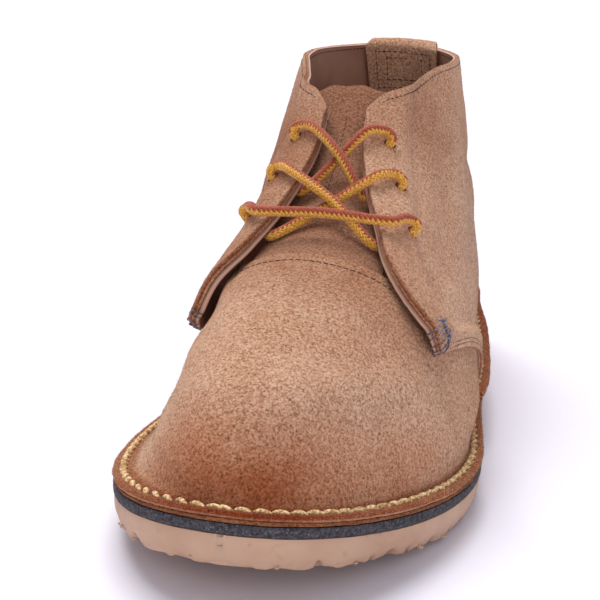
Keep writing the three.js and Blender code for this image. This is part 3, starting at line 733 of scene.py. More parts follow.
RAW_EDGE = raw_edge()
LINING = lining()
CREPE_FINISH = crepe()
GREY = grey_rubber()
DARK_THREAD = thread("dark_thread", rgb(34, 24, 24), rgb(78, 56, 50))
BLUE_THREAD = thread("blue_thread", rgb(46, 42, 52), rgb(146, 142, 160))
WELT_THREAD = thread("welt_thread", rgb(166, 124, 76), rgb(236, 208, 158), 0.6)
BRAID = braid()
# Painted shade: dark lumps that stand for the needle holes between the welt stitches.
SHADOW = thread("needle_hole_painted_shade", rgb(40, 24, 18), rgb(72, 44, 32))


# ---------------------------------------------------------------- sole
SLAB_ROUNDING = 0.35


def slab(name, below, top, inset, material, replaces, waver=0.0):
    """A layer of the sole with a soft edge, which stands just clear of the layer below."""
    stations, rows = 420, 7
    angle = np.linspace(0, 2 * PI, stations, endpoint=False)
    rings = []
    for k in range(rows):
        share = k / (rows - 1)
        x, y = outline(angle, inset + SLAB_ROUNDING * abs(2 * share - 1) ** 6)
        ring = np.stack([x, y, mix(below(y) + GAP, top(y), share)], -1)
        out = unit(np.stack([np.gradient(y), -np.gradient(x), 0 * x], -1)) * -1
        rough = waver * (wander(ring * [1, 1, 1.5], 9, 21) + 0.6 * wander(ring * [1, 1, 2.5], 3, 22))
        rings.append(ring - out * np.abs(rough)[:, None])
    points = np.concatenate(rings)
    faces = grid_faces(rows, stations, 0, closed=True)
    for level in (0, rows - 1):
        faces += lid(level * stations, stations)
    return to_mesh(name, points, faces, material, replaces)


def lid(start, stations):
    """Cross strips that close a ring which starts at the toe and runs round the heel."""
    half = stations // 2
    strips = [[i, i + 1, -i - 1, -i] for i in range(1, half - 1)]
    tips = [[0, 1, -1], [half, half + 1, half - 1]]
    return [[start + i % stations for i in face] for face in strips + tips]


GROOVE_PITCH, GROOVE_WIDTH, GROOVE_DEPTH = 10, 2.6, 1.8
ZIGZAG_SWING, ZIGZAG_STEP, ZIGZAG_START = 3.2, 9, -69
TREAD = [(-134, -48), (72, 138)]


def groove_depth(x, y):
    """How deep the zigzag tread is cut at a place on the underside."""
    zigzag = ZIGZAG_SWING * (1 - 2 * np.abs(((x - ZIGZAG_START) / ZIGZAG_STEP) % 2 - 1))
    depth = np.zeros(np.broadcast(x, y).shape)
    for start, end in TREAD:
        for middle in np.arange(start, end + 1, GROOVE_PITCH):
            away = np.abs(y - middle - zigzag)
            depth = np.maximum(depth, GROOVE_DEPTH * smooth((GROOVE_WIDTH / 2 + 0.4 - away) / 0.8))
    return depth


def chips(y, x):
    """Irregular notches along the crepe's lower edge, in mm."""
    place = np.stack([x, y, 0 * x], -1)
    coarse = np.maximum(0, wander(place, 11, 31) + 0.15)
    fine = np.maximum(0, wander(place, 5, 32))
    return 1.25 * coarse**0.7 + 0.45 * fine


CREPE_INSET, CREPE_TUCK, CREPE_BULGE = 0.6, 2.2, 0.55
CREPE_STATIONS, CREPE_ACROSS, CREPE_ROWS = 299, 92, 15


def crepe_under(angle):
    """Underside of the crepe: rows across the sole, with the tread and the chipped edge."""
    share = (np.linspace(-1, 1, CREPE_ACROSS) + 1) / 2
    x_lat, y = outline(angle, CREPE_INSET + CREPE_TUCK)
    x_med, _ = outline(-angle, CREPE_INSET + CREPE_TUCK)
    x = x_med[:, None] + (x_lat - x_med)[:, None] * share[None]
    y = np.repeat(y[:, None], CREPE_ACROSS, 1)
    near_edge = smooth(1 - np.minimum(share, 1 - share)[None] * (x_lat - x_med)[:, None] / 5.0)
    z = spring(y) + arch(y) + groove_depth(x, y) + chips(y, x) * near_edge
    return np.stack([x, y, z], -1)


def crepe_ring(angle, foot, share):
    """One round of the crepe's wall, at this share of the way up from the level of its foot."""
    lean = CREPE_TUCK * (1 - share) ** 1.6 - CREPE_BULGE * math.sin(PI * share) ** 0.8
    x, y = outline(angle, CREPE_INSET + lean)
    top = crepe_top(y)
    base = mix(foot, spring(y) + arch(y), smooth(share * 2.2))
    place = np.stack([x, y, mix(base, top, share)], -1)
    dent = 0.16 * wander(place, 17, 33) + 0.08 * wander(place, 6, 34)
    x, y = outline(angle, CREPE_INSET + lean + np.abs(dent))
    return np.stack([x, y, mix(base, top, share)], -1)


def outsole():
    """Crepe: a fine grid across the tread, a wall that bulges and tucks under, and a flat top."""
    count, across = CREPE_STATIONS, CREPE_ACROSS
    angle = np.linspace(0, PI, count + 2)[1:-1]
    under = crepe_under(angle)
    faces = [face[::-1] for face in grid_faces(count, across)]
    lateral = np.arange(count) * across + across - 1
    medial = np.arange(count) * across
    ring_angle = np.concatenate([angle, -angle[::-1]])
    foot = np.concatenate([under[:, -1, 2], under[::-1, 0, 2]])
    points = [under.reshape(-1, 3)]
    previous = np.concatenate([lateral, medial[::-1]])
    starts = len(points[0]) + 2 * count * np.arange(CREPE_ROWS - 1)
    for k, start in enumerate(starts, 1):
        points.append(crepe_ring(ring_angle, foot, k / (CREPE_ROWS - 1)))
        current = start + np.arange(2 * count)
        faces += np.stack([previous, np.roll(previous, -1), np.roll(current, -1), current], -1).tolist()
        previous = current
    top = previous.tolist()
    faces += [[top[i], top[i + 1], top[-i - 2], top[-i - 1]] for i in range(count - 1)]
    for row, first, last in ((0, 0, 2 * count - 1), (count - 1, count - 1, count)):
        across_row = (row * across + np.arange(across)).tolist()
        faces.append(across_row + (starts + first).tolist() + (starts + last).tolist()[::-1])
    return to_mesh("outsole_crepe", np.concatenate(points), faces, CREPE_FINISH, ("outsole",))


CRUMBS, CRUMB_INSET = 46, 2.7


def crumbs():
    """Small curls of crepe that hang from the roughly cut lower edge."""
    parts = []
    share = np.linspace(0, 1, 7)
    for angle in rng.uniform(0, 2 * PI, CRUMBS):
        x, y = outline(np.array([angle, angle + 0.01]), CRUMB_INSET)
        foot = np.array([x[0], y[0], spring(y[0]) + arch(y[0]) + rng.uniform(0.6, 2.0)])
        along = unit(np.array([x[1] - x[0], y[1] - y[0], 0.0]))
        out = np.array([along[1], -along[0], 0.0])
        length, curl = rng.uniform(0.8, 2.4), rng.uniform(0.5, 1.2)
        path = foot + np.outer(length * share, along) + np.outer(curl * np.sin(PI * share), out)
        path[:, 2] += rng.uniform(-0.4, 0.9) * share**2
        _, first, second = frames_along(path, out)
        radius = rng.uniform(0.18, 0.42) * np.sqrt(np.maximum(0.03, np.sin(PI * share)))
        parts.append((tube_points(path, first, second, radius, 6), tube_faces(len(path), 6)))
    points, faces = merge(parts)
    points[:, 2] = np.maximum(points[:, 2], 0.05)
    to_mesh("crepe_crumbs", points, faces, CREPE_FINISH)


outsole()
crumbs()
slab("midsole_rubber", crepe_top, rubber_top, 0.15, GREY, ("rubber_midsole",), waver=0.10)
slab("midsole_leather", rubber_top, leather_top, 0.4, RAW_EDGE, ("leather_midsole",),
     waver=0.28)
slab("sock", leather_top, insole_top, FEATHER + WALL + INSOLE_EASE, LINING, ("insole",))

# ---------------------------------------------------------------- vamp and flange
BEND, BEND_LEVEL = 2.0, 0.045
FLANGE_INSETS = [0.3, 0.55, 1.0, 1.6, 2.2, 2.7, 3.1, 3.5, 3.9, 4.2]
WELT_INSET = 3.1
SPLAY = 2.1                    # how much further out the quarter's flange stands at the waist
WORN_FOOT = 0.035              # the suede is rubbed up to this level, above its turned-out edge


def bend(level):
    return BEND * np.maximum(0, 1 - level / BEND_LEVEL) ** 2


def splay(angle):
    """How much further out, in mm, the quarter's turned-out edge stands along the lateral waist."""
    return SPLAY * smooth((angle - 1.50) / 0.14) * smooth((2.3 - angle) / 0.3)


def flange_rows(angle, raised, spread=0.0):
    """The turned-out edge, from its rim in to the foot of the wall."""
    rows = []
    for inset in FLANGE_INSETS:
        moved = inset - spread * (1 - inset / FEATHER)
        x, y = outline(angle, moved)
        place = np.stack([x, y, 0 * x], -1)
        rough = np.abs(0.22 * wander(place, 7, 41) + 0.12 * wander(place, 2.6, 42)) * smooth(1 - inset / 2)
        x, y = outline(angle, moved + rough)
        crown = 0.25 * math.sin(PI * min(1, inset / 4.4)) ** 0.5 - 0.25
        stitch = -0.35 * math.exp(-((inset - WELT_INSET) / 0.8) ** 2)
        z = flange_top(y) + crown + stitch + raised + 0.12 * wander(place, 12, 43)
        rows.append(np.stack([x, y, z], -1))
    return rows


def wall_lift(level):
    """The wall starts on the flange's face, and not sunk into it as the frame's does."""
    return SINK * np.maximum(0, 1 - level / 0.03) ** 1.5


def vamp():
    """Toe and forefoot in one cut piece, from its turned-out edge up to the seam with the tongue."""
    across, rows = 231, 100
    side = np.linspace(-1, 1, across)
    foot = VAMP_EDGE["angle"][0] * side
    front = flange_rows(foot, 0.0)
    back = [row - [0, 0, FLANGE - 0.2] for row in front]
    share = np.linspace(0, 1, rows) ** 1.15
    reach = read(VAMP_EDGE, "angle", share * BIB_TOP)
    angle = reach[:, None] * side[None]
    level = share[:, None] * bib_top(angle)
    hidden = smooth((np.abs(side)[None] - 0.88) / 0.1)
    seam = smooth((share[:, None] - 0.86) / 0.14)
    face = bend(level) - 0.5 * hidden - 1.1 * seam
    points = skin(level, angle, face)
    points[..., 2] += wall_lift(level)
    under = skin(level, angle, mix(-1.4, -1.5, seam) + 0.3 * hidden - 0.2 * seam)
    front = np.concatenate([np.stack(front), points])
    back = np.concatenate([np.stack(back), under])
    worn = np.concatenate([np.ones(face[:len(FLANGE_INSETS)].shape), smooth(1 - level / WORN_FOOT)])
    sheet("vamp", front, back, SUEDE, ("upper",), worn)


def vamp_lining():
    share = np.linspace(0.02, 0.985, 40)
    reach = read(VAMP_EDGE, "angle", share * BIB_TOP)
    angle = reach[:, None] * np.linspace(-0.97, 0.97, 61)[None]
    level = share[:, None] * bib_top(angle)
    sheet("vamp_lining", skin(level, angle, -1.75), skin(level, angle, -2.3), LINING)


vamp()
vamp_lining()


# ---------------------------------------------------------------- quarters
def edge_wobble(level, side):
    """The cut front edge isn't quite true: offset in mm along the form."""
    place = np.stack([level * 130, 0 * level + side * 40, 0 * level], -1)
    return 0.35 * wander(place, 16, 51) + 0.12 * wander(place, 3.5, 52)


def quarter_grid(levels, shares):
    """Angles and distances behind the edge over both quarters, lateral first."""
    lateral_edge = edge_angle(levels) + edge_wobble(levels, 1) / 60
    medial_edge = edge_angle(levels) + edge_wobble(levels, -1) / 60
    lateral = mix(lateral_edge[:, None], PI, shares[None])
    medial = 2 * PI - mix(medial_edge[:, None], PI, shares[None])
    angle = np.concatenate([lateral, np.full((len(levels), 1), PI), medial[:, ::-1]], 1)
    points = form(levels[:, None], angle)
    run = np.linalg.norm(np.diff(points, axis=1), axis=-1)
    along = np.concatenate([np.zeros((len(levels), 1)), np.cumsum(run, 1)], 1)
    return angle, np.minimum(along, along[:, -1:] - along)


def quarter_levels(count):
    return np.linspace(0, 1, count) ** 1.1


def quarter_shares(count):
    return np.linspace(0, 1, count, endpoint=False) ** 1.35


SUEDE_SHARE = 0.56


def quarter_points(level, angle, behind, share):
    """A layer of the quarters at this share of their thickness, from the face in."""
    under, face = quarter_heights(level, behind)
    bead = np.exp(-(behind / 4.0) ** 2) * smooth((level - TACK_LEVEL) / 0.06)
    depth = mix(face + 0.3 * bead, under - 0.5 * bead, share)
    height = depth + bend(level) * (1 - share)
    top = level * collar_top(behind) - tip_drop(level, behind)
    return skin(top, angle, height)


TIP_LEVEL, TIP_DROP = 0.292, 0.016


def tip_drop(level, behind):
    """The facing's lower end hangs down in a rounded tip, which its bar tack holds."""
    return TIP_DROP * np.exp(-((level - TIP_LEVEL) / 0.022) ** 2) * np.exp(-((behind - 2.5) / 5.5) ** 2)


def quarters():
    """Both quarters: suede with its turned-out edge, a lining, and eyelets punched through the two."""
    levels = quarter_levels(104)
    angle, behind = quarter_grid(levels, quarter_shares(112))
    level = levels[:, None]
    points = quarter_points(level, angle, behind, 0.0)
    points[..., 2] += wall_lift(level)
    inner = quarter_points(level, angle, behind, SUEDE_SHARE)
    _, raised = quarter_heights(np.zeros(len(behind[0])), behind[0])
    front = flange_rows(angle[0], raised, splay(angle[0]))
    back = [row - [0, 0, FLANGE - 0.3] for row in front]
    front = np.concatenate([np.stack(front), points])
    back = np.concatenate([np.stack(back), inner])
    worn = np.broadcast_to(smooth(1 - level / WORN_FOOT), behind.shape)
    worn = np.concatenate([np.ones((len(FLANGE_INSETS), len(behind[0]))), worn])
    outer = sheet("quarters", front, back, SUEDE, worn=worn, roundness=0.2)
    levels = 0.03 + 0.97 * quarter_levels(60)
    angle, behind = quarter_grid(levels, quarter_shares(64))
    level = levels[:, None]
    face = quarter_points(level, angle, behind, SUEDE_SHARE + 0.06)
    under = quarter_points(level, angle, behind, 1.0)
    inner = sheet("quarter_lining", under, face, LINING, roundness=0.2)
    punch([outer, inner])


def punch(pieces):
    """Cuts the six eyelets through the given pieces."""
    parts = []
    for level, angle in zip(EYELETS["level"], EYELETS["angle"]):
        for side in (1, -1):
            out = outward(level, side * angle)
            under, face = quarter_heights(level, EYELET_BEHIND)
            middle = form(level, side * angle) + out * (under + face) / 2
            path = middle + out * np.linspace(-5, 5, 2)[:, None]
            _, normals, binormals = frames_along(path, np.array([0.0, 0.0, 1.0]))
            points = tube_points(path, normals, binormals, np.full(2, HOLE_RADIUS), 24)
            parts.append((points, tube_faces(2, 24)))
    points, faces = merge(parts)
    mesh = bpy.data.meshes.new("punch")
    mesh.from_pydata((points * MM).tolist(), [], faces)
    cutter = bpy.data.objects.new("punch", mesh)
    bpy.context.scene.collection.objects.link(cutter)
    for piece in pieces:
        cut = piece.modifiers.new("holes", "BOOLEAN")
        cut.operation, cut.solver, cut.object = "DIFFERENCE", "EXACT", cutter
        bpy.context.view_layer.update()
        shown = piece.evaluated_get(bpy.context.evaluated_depsgraph_get())
        finished = bpy.data.meshes.new_from_object(shown)
        piece.modifiers.clear()
        piece.data = finished
    bpy.data.objects.remove(cutter)


quarters()


# ---------------------------------------------------------------- tongue
def tongue_face(level, angle, across):
    """The tongue's outer face, which sinks from the vamp's seam to let the lace lie over it."""
    seam = bib_top(angle)
    sunk = smooth((level - seam + 0.02) / 0.13)
    depth = mix(1.45, TONGUE_DEPTH, sunk) + 1.2 * smooth((seam - level) / 0.02)
    base = form(level, angle)
    height = 0.25 * wander(base, 24, 61) - depth - 0.6 * np.maximum(0, np.abs(across) - 0.6)
    normal = outward(level, angle)
    return base + normal * height[..., None], normal


def tongue():
    """The tongue, from under the vamp's seam up to its rounded top corners."""
    rows, columns = 90, 90
    share = np.linspace(0, 1, rows)[:, None]
    across = np.linspace(-1, 1, columns)[None]
    corner = 0.05 * np.abs(across) ** 2 + 0.05 * np.maximum(0, np.abs(across) - 0.75) ** 2 / 0.0625
    top = 0.995 - corner + 0.002 * np.sin(across * 11)
    level = mix(0.5 - 0.06 * across**2, top, share)
    angle = read(TONGUE_SPAN, "angle", level) * across
    front, normal = tongue_face(level, angle, across)
    sheet("tongue_suede", front, front - 1.7 * normal, SUEDE_TONGUE_SHADED, ("tongue",))


tongue()


# ---------------------------------------------------------------- pull tab
TAB_STEPS = 21


def tab_path(thick):
    """The folded strip's run over the collar, inner end first, as (level, height, rise)."""
    inner, outer = -WALL - TAB_EASE, TAB_EASE
    fall = TAB_DROP / (form(1.0, PI)[2] - form(0.0, PI)[2])
    middle, half = (inner + outer) / 2, (outer - inner) / 2
    down = np.linspace(1 - fall, 1, TAB_STEPS)
    turn = np.linspace(0, PI, TAB_STEPS)[1:-1]
    level = np.concatenate([down, np.ones(len(turn)), down[::-1]])
    height = np.concatenate([
        np.full(len(down), inner - thick),
        middle - (half + thick) * np.cos(turn),
        np.full(len(down), outer + thick)])
    rise = np.concatenate([0 * down, (0.6 + thick) * np.sin(turn), 0 * down])
    return level, height, rise


def tab_reach(level, height):
    """Angle either side of the heel that the tab covers, so that its width is even all the way."""
    span = over(level, PI + 0.05, height) - over(level, PI - 0.05, height)
    return TAB_WIDTH * 0.05 / np.linalg.norm(span, axis=-1)


def tab_points(across, thick):
    level, height, rise = tab_path(thick)
    angle = PI + across[None] * tab_reach(level, height)[:, None]
    base = form(level[:, None], angle)
    points = base + outward(level[:, None], angle) * height[:, None, None]
    points[..., 2] += rise[:, None]
    return points + (0.15 * wander(points, 11, 71))[..., None] * outward(level[:, None], angle)


def pull_tab():
    across = np.linspace(-1, 1, 40)
    face, under = tab_points(across, TAB_THICK), tab_points(across, 0.0)
    sheet("pull_tab_suede", face, under, SUEDE, ("pull_tab",))


pull_tab()


# ---------------------------------------------------------------- stitches
def lumps(path, normals, pitch, length, radius, rise, slant=0.0, sides=7, rows=7, jitter=0.0, between=0):
    """Separate stitches along a path: each rises out of the leather and dives back into it."""
    even, _ = resample(np.concatenate([path, normals], 1), pitch / 2)
    tangent = unit(np.gradient(even[:, :3], axis=0))[between::2]
    centre, normal = even[between::2, :3], unit(even[between::2, 3:])
    side = np.cross(tangent, normal)
    parts = []
    share = np.linspace(-1, 1, rows)
    for c, t, n, s in zip(centre, tangent, normal, side):
        reach = length / 2 * (1 + jitter * rng.uniform(-1, 1))
        swing = slant * (1 + jitter * rng.uniform(-1, 1)) + jitter * radius * rng.uniform(-1, 1)
        spine = c + np.outer(share * reach, t) + np.outer(share * swing, s)
        spine = spine + np.outer(rise * (1 - share**2) - 0.6 * radius, n)
        _, first, second = frames_along(spine, n)
        swell = radius * (0.55 + 0.45 * np.sqrt(np.maximum(0, 1 - share**2)))
        parts.append((tube_points(spine, first, second, swell, sides), tube_faces(rows, sides)))
    return parts


def stitches(name, parts, material):
    points, faces = merge(parts)
    return to_mesh(name, points, faces, material, sharp=0)


WELT_STITCH = 4.9              # from one welt stitch to the next


def welt():
    """Thick waxed stitches through the turned-out edge, with a dark lump between each two: painted shade of a
    needle hole.
    """
    angle = np.linspace(0, 2 * PI, 1400)
    x, y = outline(angle, WELT_INSET - 0.6 * splay(angle))
    rings = np.minimum(np.abs(angle), np.abs(2 * PI - angle))
    at_quarter = smooth((rings - 1.52) / 0.05)
    behind = np.maximum(0, (rings - 1.56) * 75)
    lift = at_quarter * quarter_heights(0 * y, behind)[1]
    path = np.stack([x, y, flange_top(y) - 0.35 + lift], -1)
    up = np.tile([0.0, 0.0, 1.0], (len(path), 1))
    parts = lumps(path, up, WELT_STITCH, WELT_STITCH, 0.86, 1.0, slant=0.85, sides=10, rows=11, jitter=0.12)
    stitches("welt_stitches", parts, WELT_THREAD)
    parts = lumps(path, up, WELT_STITCH, 1.5, 0.75, 0.12, sides=8, rows=5, jitter=0.3, between=1)
    stitches("painted_hole_shades", parts, SHADOW)


def on_quarter(level, behind, side, height=0.0):
    """A place on a quarter, by level and distance behind its front edge, with its normal."""
    level = np.asarray(level, float)
    behind = np.broadcast_to(np.asarray(behind, float), level.shape)
    edge = edge_angle(level)
    stepped = np.linalg.norm(form(level, edge + 0.02) - form(level, edge), axis=-1) / 0.02
    angle = side * (edge + behind / stepped)
    _, face = quarter_heights(level, behind)
    top = level * collar_top(behind) - tip_drop(level, behind)
    normal = outward(top, angle)
    return skin(top, angle, face) + normal * height, normal


def fine_rows():
    """Dark sewing: collar, facing tops, the quarters' lower edges, tongue seam and tongue centre."""
    parts = []
    size = dict(pitch=2.1, length=1.7, radius=0.22, rise=0.10, jitter=0.15)
    levels = np.array([1.0])
    angle, behind = quarter_grid(levels, quarter_shares(200))
    drop = 1.7 / 105
    top = (1 - drop) * collar_top(behind[0])
    for share, away in ((0.0, 1), (1.0, -1)):
        under, face = quarter_heights(top, behind[0])
        height = face if share == 0 else under
        normal = outward(top, angle[0])
        path = skin(top, angle[0], height)
        parts += lumps(path, normal * away, **size)
    size = dict(pitch=2.1, length=1.7, radius=0.17, rise=0.04, jitter=0.15)
    for side in (1, -1):
        for behind_edge in (2.2, 5.0):
            level = np.linspace(0.05, 0.275, 80)
            path, normal = on_quarter(level, behind_edge, side)
            parts += lumps(path, normal, **size)
    angle = np.linspace(-1.0, 1.0, 160)
    level = bib_top(angle) - 0.018
    normal = outward(level, angle)
    parts += lumps(skin(level, angle, -0.8), normal, pitch=2.1, length=1.6, radius=0.15, rise=0.03)
    level = np.linspace(0.685, 0.938, 60)
    angle = np.linspace(-0.098, -0.03, 60)
    path, normal = tongue_face(level, angle, 0 * angle)
    parts += lumps(path, normal, pitch=2.6, length=2.0, radius=0.2, rise=0.08, jitter=0.2)
    return parts


def tab_rows():
    """Two boxes of sewing, one in the other, through both ends of the pull tab."""
    parts = []
    height = form(1.0, PI)[2] - form(0.0, PI)[2]
    for margin in (2.8, 6.2):
        x = 1 - 2 * margin / TAB_WIDTH
        high, low = margin - 0.2, TAB_DROP - margin + 0.6
        corners = [(-x, low), (-x, high), (x, high), (x, low), (-x, low)]
        for face, away in ((-WALL - TAB_EASE - TAB_THICK, -1), (TAB_EASE + TAB_THICK, 1)):
            for (across0, drop0), (across1, drop1) in zip(corners, corners[1:]):
                share = np.linspace(0.02, 0.98, 30)
                level = 1 - mix(drop0, drop1, share) / height
                angle = PI + mix(across0, across1, share) * tab_reach(level, face)
                normal = outward(level, angle)
                path = form(level, angle) + normal * face
                parts += lumps(path, normal * away, pitch=2.3, length=1.9, radius=0.21, rise=0.12, jitter=0.1)
    return parts


def thread_run(path, normals, radius):
    """A thread that lies along a path and dives in at both ends."""
    sides = 7
    share = np.linspace(-1, 1, len(path))
    path = path - normals * (1.2 * radius * share**8)[:, None]
    _, first, second = frames_along(path, normals[0])
    return tube_points(path, first, second, np.full(len(path), radius), sides), tube_faces(len(path), sides)


def bar_tack(side):
    """A messy knot of thread that holds a facing's lower tip down, and loops round its edge."""
    parts = []
    share = np.linspace(0, 1, 12)
    for _ in range(18):
        level = TIP_LEVEL + rng.uniform(-0.008, 0.050, 2)
        behind = rng.uniform(0.8, 9.5, 2)
        bow = rng.uniform(-1.6, 1.6) * np.sin(PI * share)
        path, normal = on_quarter(mix(*level, share), mix(*behind, share) + bow, side, rng.uniform(0.0, 0.2))
        parts.append(thread_run(path, normal, rng.uniform(0.12, 0.19)))
    for level in TIP_LEVEL + np.array([-0.004, 0.004, 0.013, 0.024, 0.036]):
        behind = mix(rng.uniform(3.0, 6.5), -0.5, np.minimum(1, share / 0.7))
        path, normal = on_quarter(np.full(12, level), behind, side, 0.2)
        path = path - normal * (3.6 * smooth((share - 0.7) / 0.3))[:, None]
        parts.append(thread_run(path, normal, 0.2))
    return parts


welt()
stitches("fine_stitches", fine_rows(), DARK_THREAD)
stitches("tab_stitches", tab_rows(), DARK_THREAD)
for side_name, side_sign in (("lateral", 1), ("medial", -1)):
    stitches("tack_" + side_name, bar_tack(side_sign), BLUE_THREAD)


# ---------------------------------------------------------------- nap
NAP_EDGE_SHARE = 3.0           # how many more fibres stand on a worn edge, as a share
NAP_ROOT = 0.08                # how deep a fibre is set in the suede
NAP_HEEL = 0.15                # how far the third corner of its foot lies behind the other two


def values_of(items, key, width=1, kind=float):
    """One property of a mesh's items as an array."""
    values = np.zeros(len(items) * width, kind)
    items.foreach_get(key, values)
    return values.reshape(-1, width) if width > 1 else values


def suede_triangles(mesh):
    """Corners in mm, outward direction and nap weight of each triangle of a suede sheet."""
    mesh.calc_loop_triangles()
    index = values_of(mesh.loop_triangles, "vertices", 3, int)
    corner = values_of(mesh.vertices, "co", 3)[index] / MM
    area = np.linalg.norm(np.cross(corner[:, 1] - corner[:, 0], corner[:, 2] - corner[:, 0]), axis=1) / 2
    edge = values_of(mesh.attributes["worn"].data, "value")[index].mean(1)
    weight = area * np.where(edge < -0.05, 0, 1 + NAP_EDGE_SHARE * np.maximum(0, edge))
    return corner, unit(values_of(mesh.vertices, "normal", 3)[index].mean(1)), weight


def nap(name, piece, material, count, seed):
    """Short loose fibres rooted in the suede, each a thin closed spike, thickest along its cut edges."""
    source = np.random.default_rng(seed)
    corner, normal, weight = suede_triangles(bpy.data.objects[piece].data)
    pick = source.choice(len(weight), count, p=weight / weight.sum())
    share = source.dirichlet((1, 1, 1), count)
    root = (corner[pick] * share[..., None]).sum(1)
    out = normal[pick]
    lying = unit(np.cross(out, unit(source.normal(size=(count, 3)))))
    lean = source.uniform(0.20, 0.9, count)[:, None]
    fibre = unit(lying + out * lean) * source.uniform(0.35, 0.95, count)[:, None]
    half = unit(np.cross(fibre, out)) * source.uniform(0.08, 0.13, count)[:, None]
    back = unit(fibre) * NAP_HEEL
    root = root - out * NAP_ROOT
    points = np.stack([root - half, root + half, root - back - 0.1 * out, root + fibre], 1).reshape(-1, 3)
    start = 4 * np.arange(count)[:, None, None]
    faces = (start + np.array([[0, 1, 3], [1, 2, 3], [2, 0, 3], [0, 2, 1]])).reshape(-1, 3)
    to_mesh(name, points, faces.tolist(), material, (), 0)


nap("vamp_nap", "vamp", SUEDE_NAP, 38000, 91)
nap("quarter_nap", "quarters", SUEDE_NAP, 42000, 92)
nap("tab_nap", "pull_tab_suede", SUEDE_NAP, 2500, 93)
nap("tongue_nap", "tongue_suede", TONGUE_NAP_SHADED, 5000, 94)


# ---------------------------------------------------------------- lace
BRAID_SIDES, BRAID_STEP = 48, 0.4
PLAITS, BRAID_INSET, BRAID_LUMP = 6, 0.25, 0.15
ON_TONGUE = -TONGUE_DEPTH + GAP + LACE_RADIUS + 0.5
OVER_BULGE, UNDER_BULGE, BAR_BOW = 2.6, -0.6, 1.0
HOOK = 2.0                     # how far above an eyelet its strand crosses the facing
FACING_RISE = 95               # height of the form from level 0 to level 1, along the facings


def on_facing(row, side, inwards, height, up):
    """A place over a facing: inwards is the share of the way to its edge, and up is in mm."""
    level = EYELETS["level"][row] + up / FACING_RISE
    angle = EYELETS["angle"][row] + edge_angle(level) - edge_angle(EYELETS["level"][row])
    return over(level, side * mix(angle, edge_angle(level), inwards), height)


def facing_heights(row, inwards):
    under, face = quarter_heights(EYELETS["level"][row], EYELET_BEHIND * (1 - inwards))
    return float(under), float(face)


def landing(row, side):
    """Stops from off a facing's edge, over it, and in a hook down into the eyelet."""
    edge, hole = facing_heights(row, 1.0)[1], facing_heights(row, 0.0)[1]
    stops = [
        (1.10, edge + LACE_RADIUS + 1.3, HOOK),
        (0.60, edge + LACE_RADIUS + 0.7, HOOK + 0.6),
        (0.20, hole + LACE_RADIUS + 0.5, HOOK + 0.1),
        (0.00, hole + LACE_RADIUS + 0.2, HOOK - 1.3),
        (-0.05, hole + 0.9, 0.4),
        (0.00, hole - 1.4, 0.0),
    ]
    return [on_facing(row, side, inwards, height, up) for inwards, height, up in stops]


def hidden(row, side):
    """Stops from inside an eyelet, under the facing, out over the tongue."""
    stops = [
        (0.0, facing_heights(row, 0.0)[0] - 0.6, 0.0),
        (0.35, ON_TONGUE + 0.1, HOOK / 2),
        (0.80, ON_TONGUE, HOOK),
        (1.35, ON_TONGUE + 0.3, HOOK),
    ]
    return [on_facing(row, side, inwards, height, up) for inwards, height, up in stops]


def crossing(row, side, bulge):
    """A strand from inside one eyelet to the next one up on the other side."""
    start, finish = hidden(row, side), landing(row + 1, -side)
    return start + [mix(start[-1], finish[0], 0.5) + np.array([0, -bulge / 2, bulge])] + finish


def lace_path():
    """The whole cord: from its hidden lateral end, over the bar, to its hidden medial end."""
    first, last = landing(0, 1)[::-1], landing(0, -1)
    bar = first + [mix(first[-1], last[0], 0.5) + np.array([0, -BAR_BOW / 2, BAR_BOW])] + last
    down = crossing(0, 1, OVER_BULGE) + crossing(1, -1, UNDER_BULGE) + hidden(2, 1)[:3]
    up = crossing(0, -1, UNDER_BULGE) + crossing(1, 1, OVER_BULGE) + hidden(2, -1)[:3]
    return down[::-1] + bar + up


BRAID_FRONT = unit(np.array([0.20, -0.90, 0.40]))   # the side that shows both of the braid's colours


def braid_twist(path, normals, binormals):
    """Turn, in radians, that brings the braid's rust half to the upper side of every strand."""
    tangent = unit(np.gradient(path, axis=0))
    shown = BRAID_FRONT - tangent * (tangent @ BRAID_FRONT)[:, None]
    angle = np.arctan2((shown * binormals).sum(1), (shown * normals).sum(1))
    wish = np.exp(1j * angle) * (shown**2).sum(1) * -tangent[:, 0]
    spread = np.exp(-0.5 * (np.arange(-24, 25) / 8) ** 2)
    eased = np.convolve(np.pad(wish, 24, mode="edge"), spread, mode="valid")
    return np.unwrap(np.angle(eased))


def lace():
    """The braided cord, round and slightly lumpy, with rounded ends that are out of sight."""
    path, length = curve_through(lace_path(), BRAID_STEP)
    _, normals, binormals = frames_along(path, BRAID_FRONT)
    along = np.arange(len(path)) * length / (len(path) - 1)
    twist = braid_twist(path, normals, binormals)[:, None]
    turned = normals * np.cos(twist) + binormals * np.sin(twist)
    binormals = binormals * np.cos(twist) - normals * np.sin(twist)
    turn = np.arange(BRAID_SIDES) / BRAID_SIDES
    slant = 2 * np.abs((turn * PLAITS) % 1 - 0.5)
    lump = np.cos(2 * PI * (along[:, None] / BRAID_PITCH + 0.9 * slant[None]))
    to_end = np.minimum(along, along[-1] - along)
    tip = np.sqrt(1 - np.clip(1 - to_end / 1.5, 0, 0.97) ** 2)
    radius = (LACE_RADIUS - BRAID_INSET + BRAID_LUMP * lump) * tip[:, None]
    points = tube_points(path, turned, binormals, radius, BRAID_SIDES)
    cad = ("lace_bar", "lace_cross_lower", "lace_cross_upper")
    piece = to_mesh("lace", points.reshape(-1, 3), tube_faces(len(path), BRAID_SIDES), BRAID, cad, 0)
    label_braid(piece.data, along)


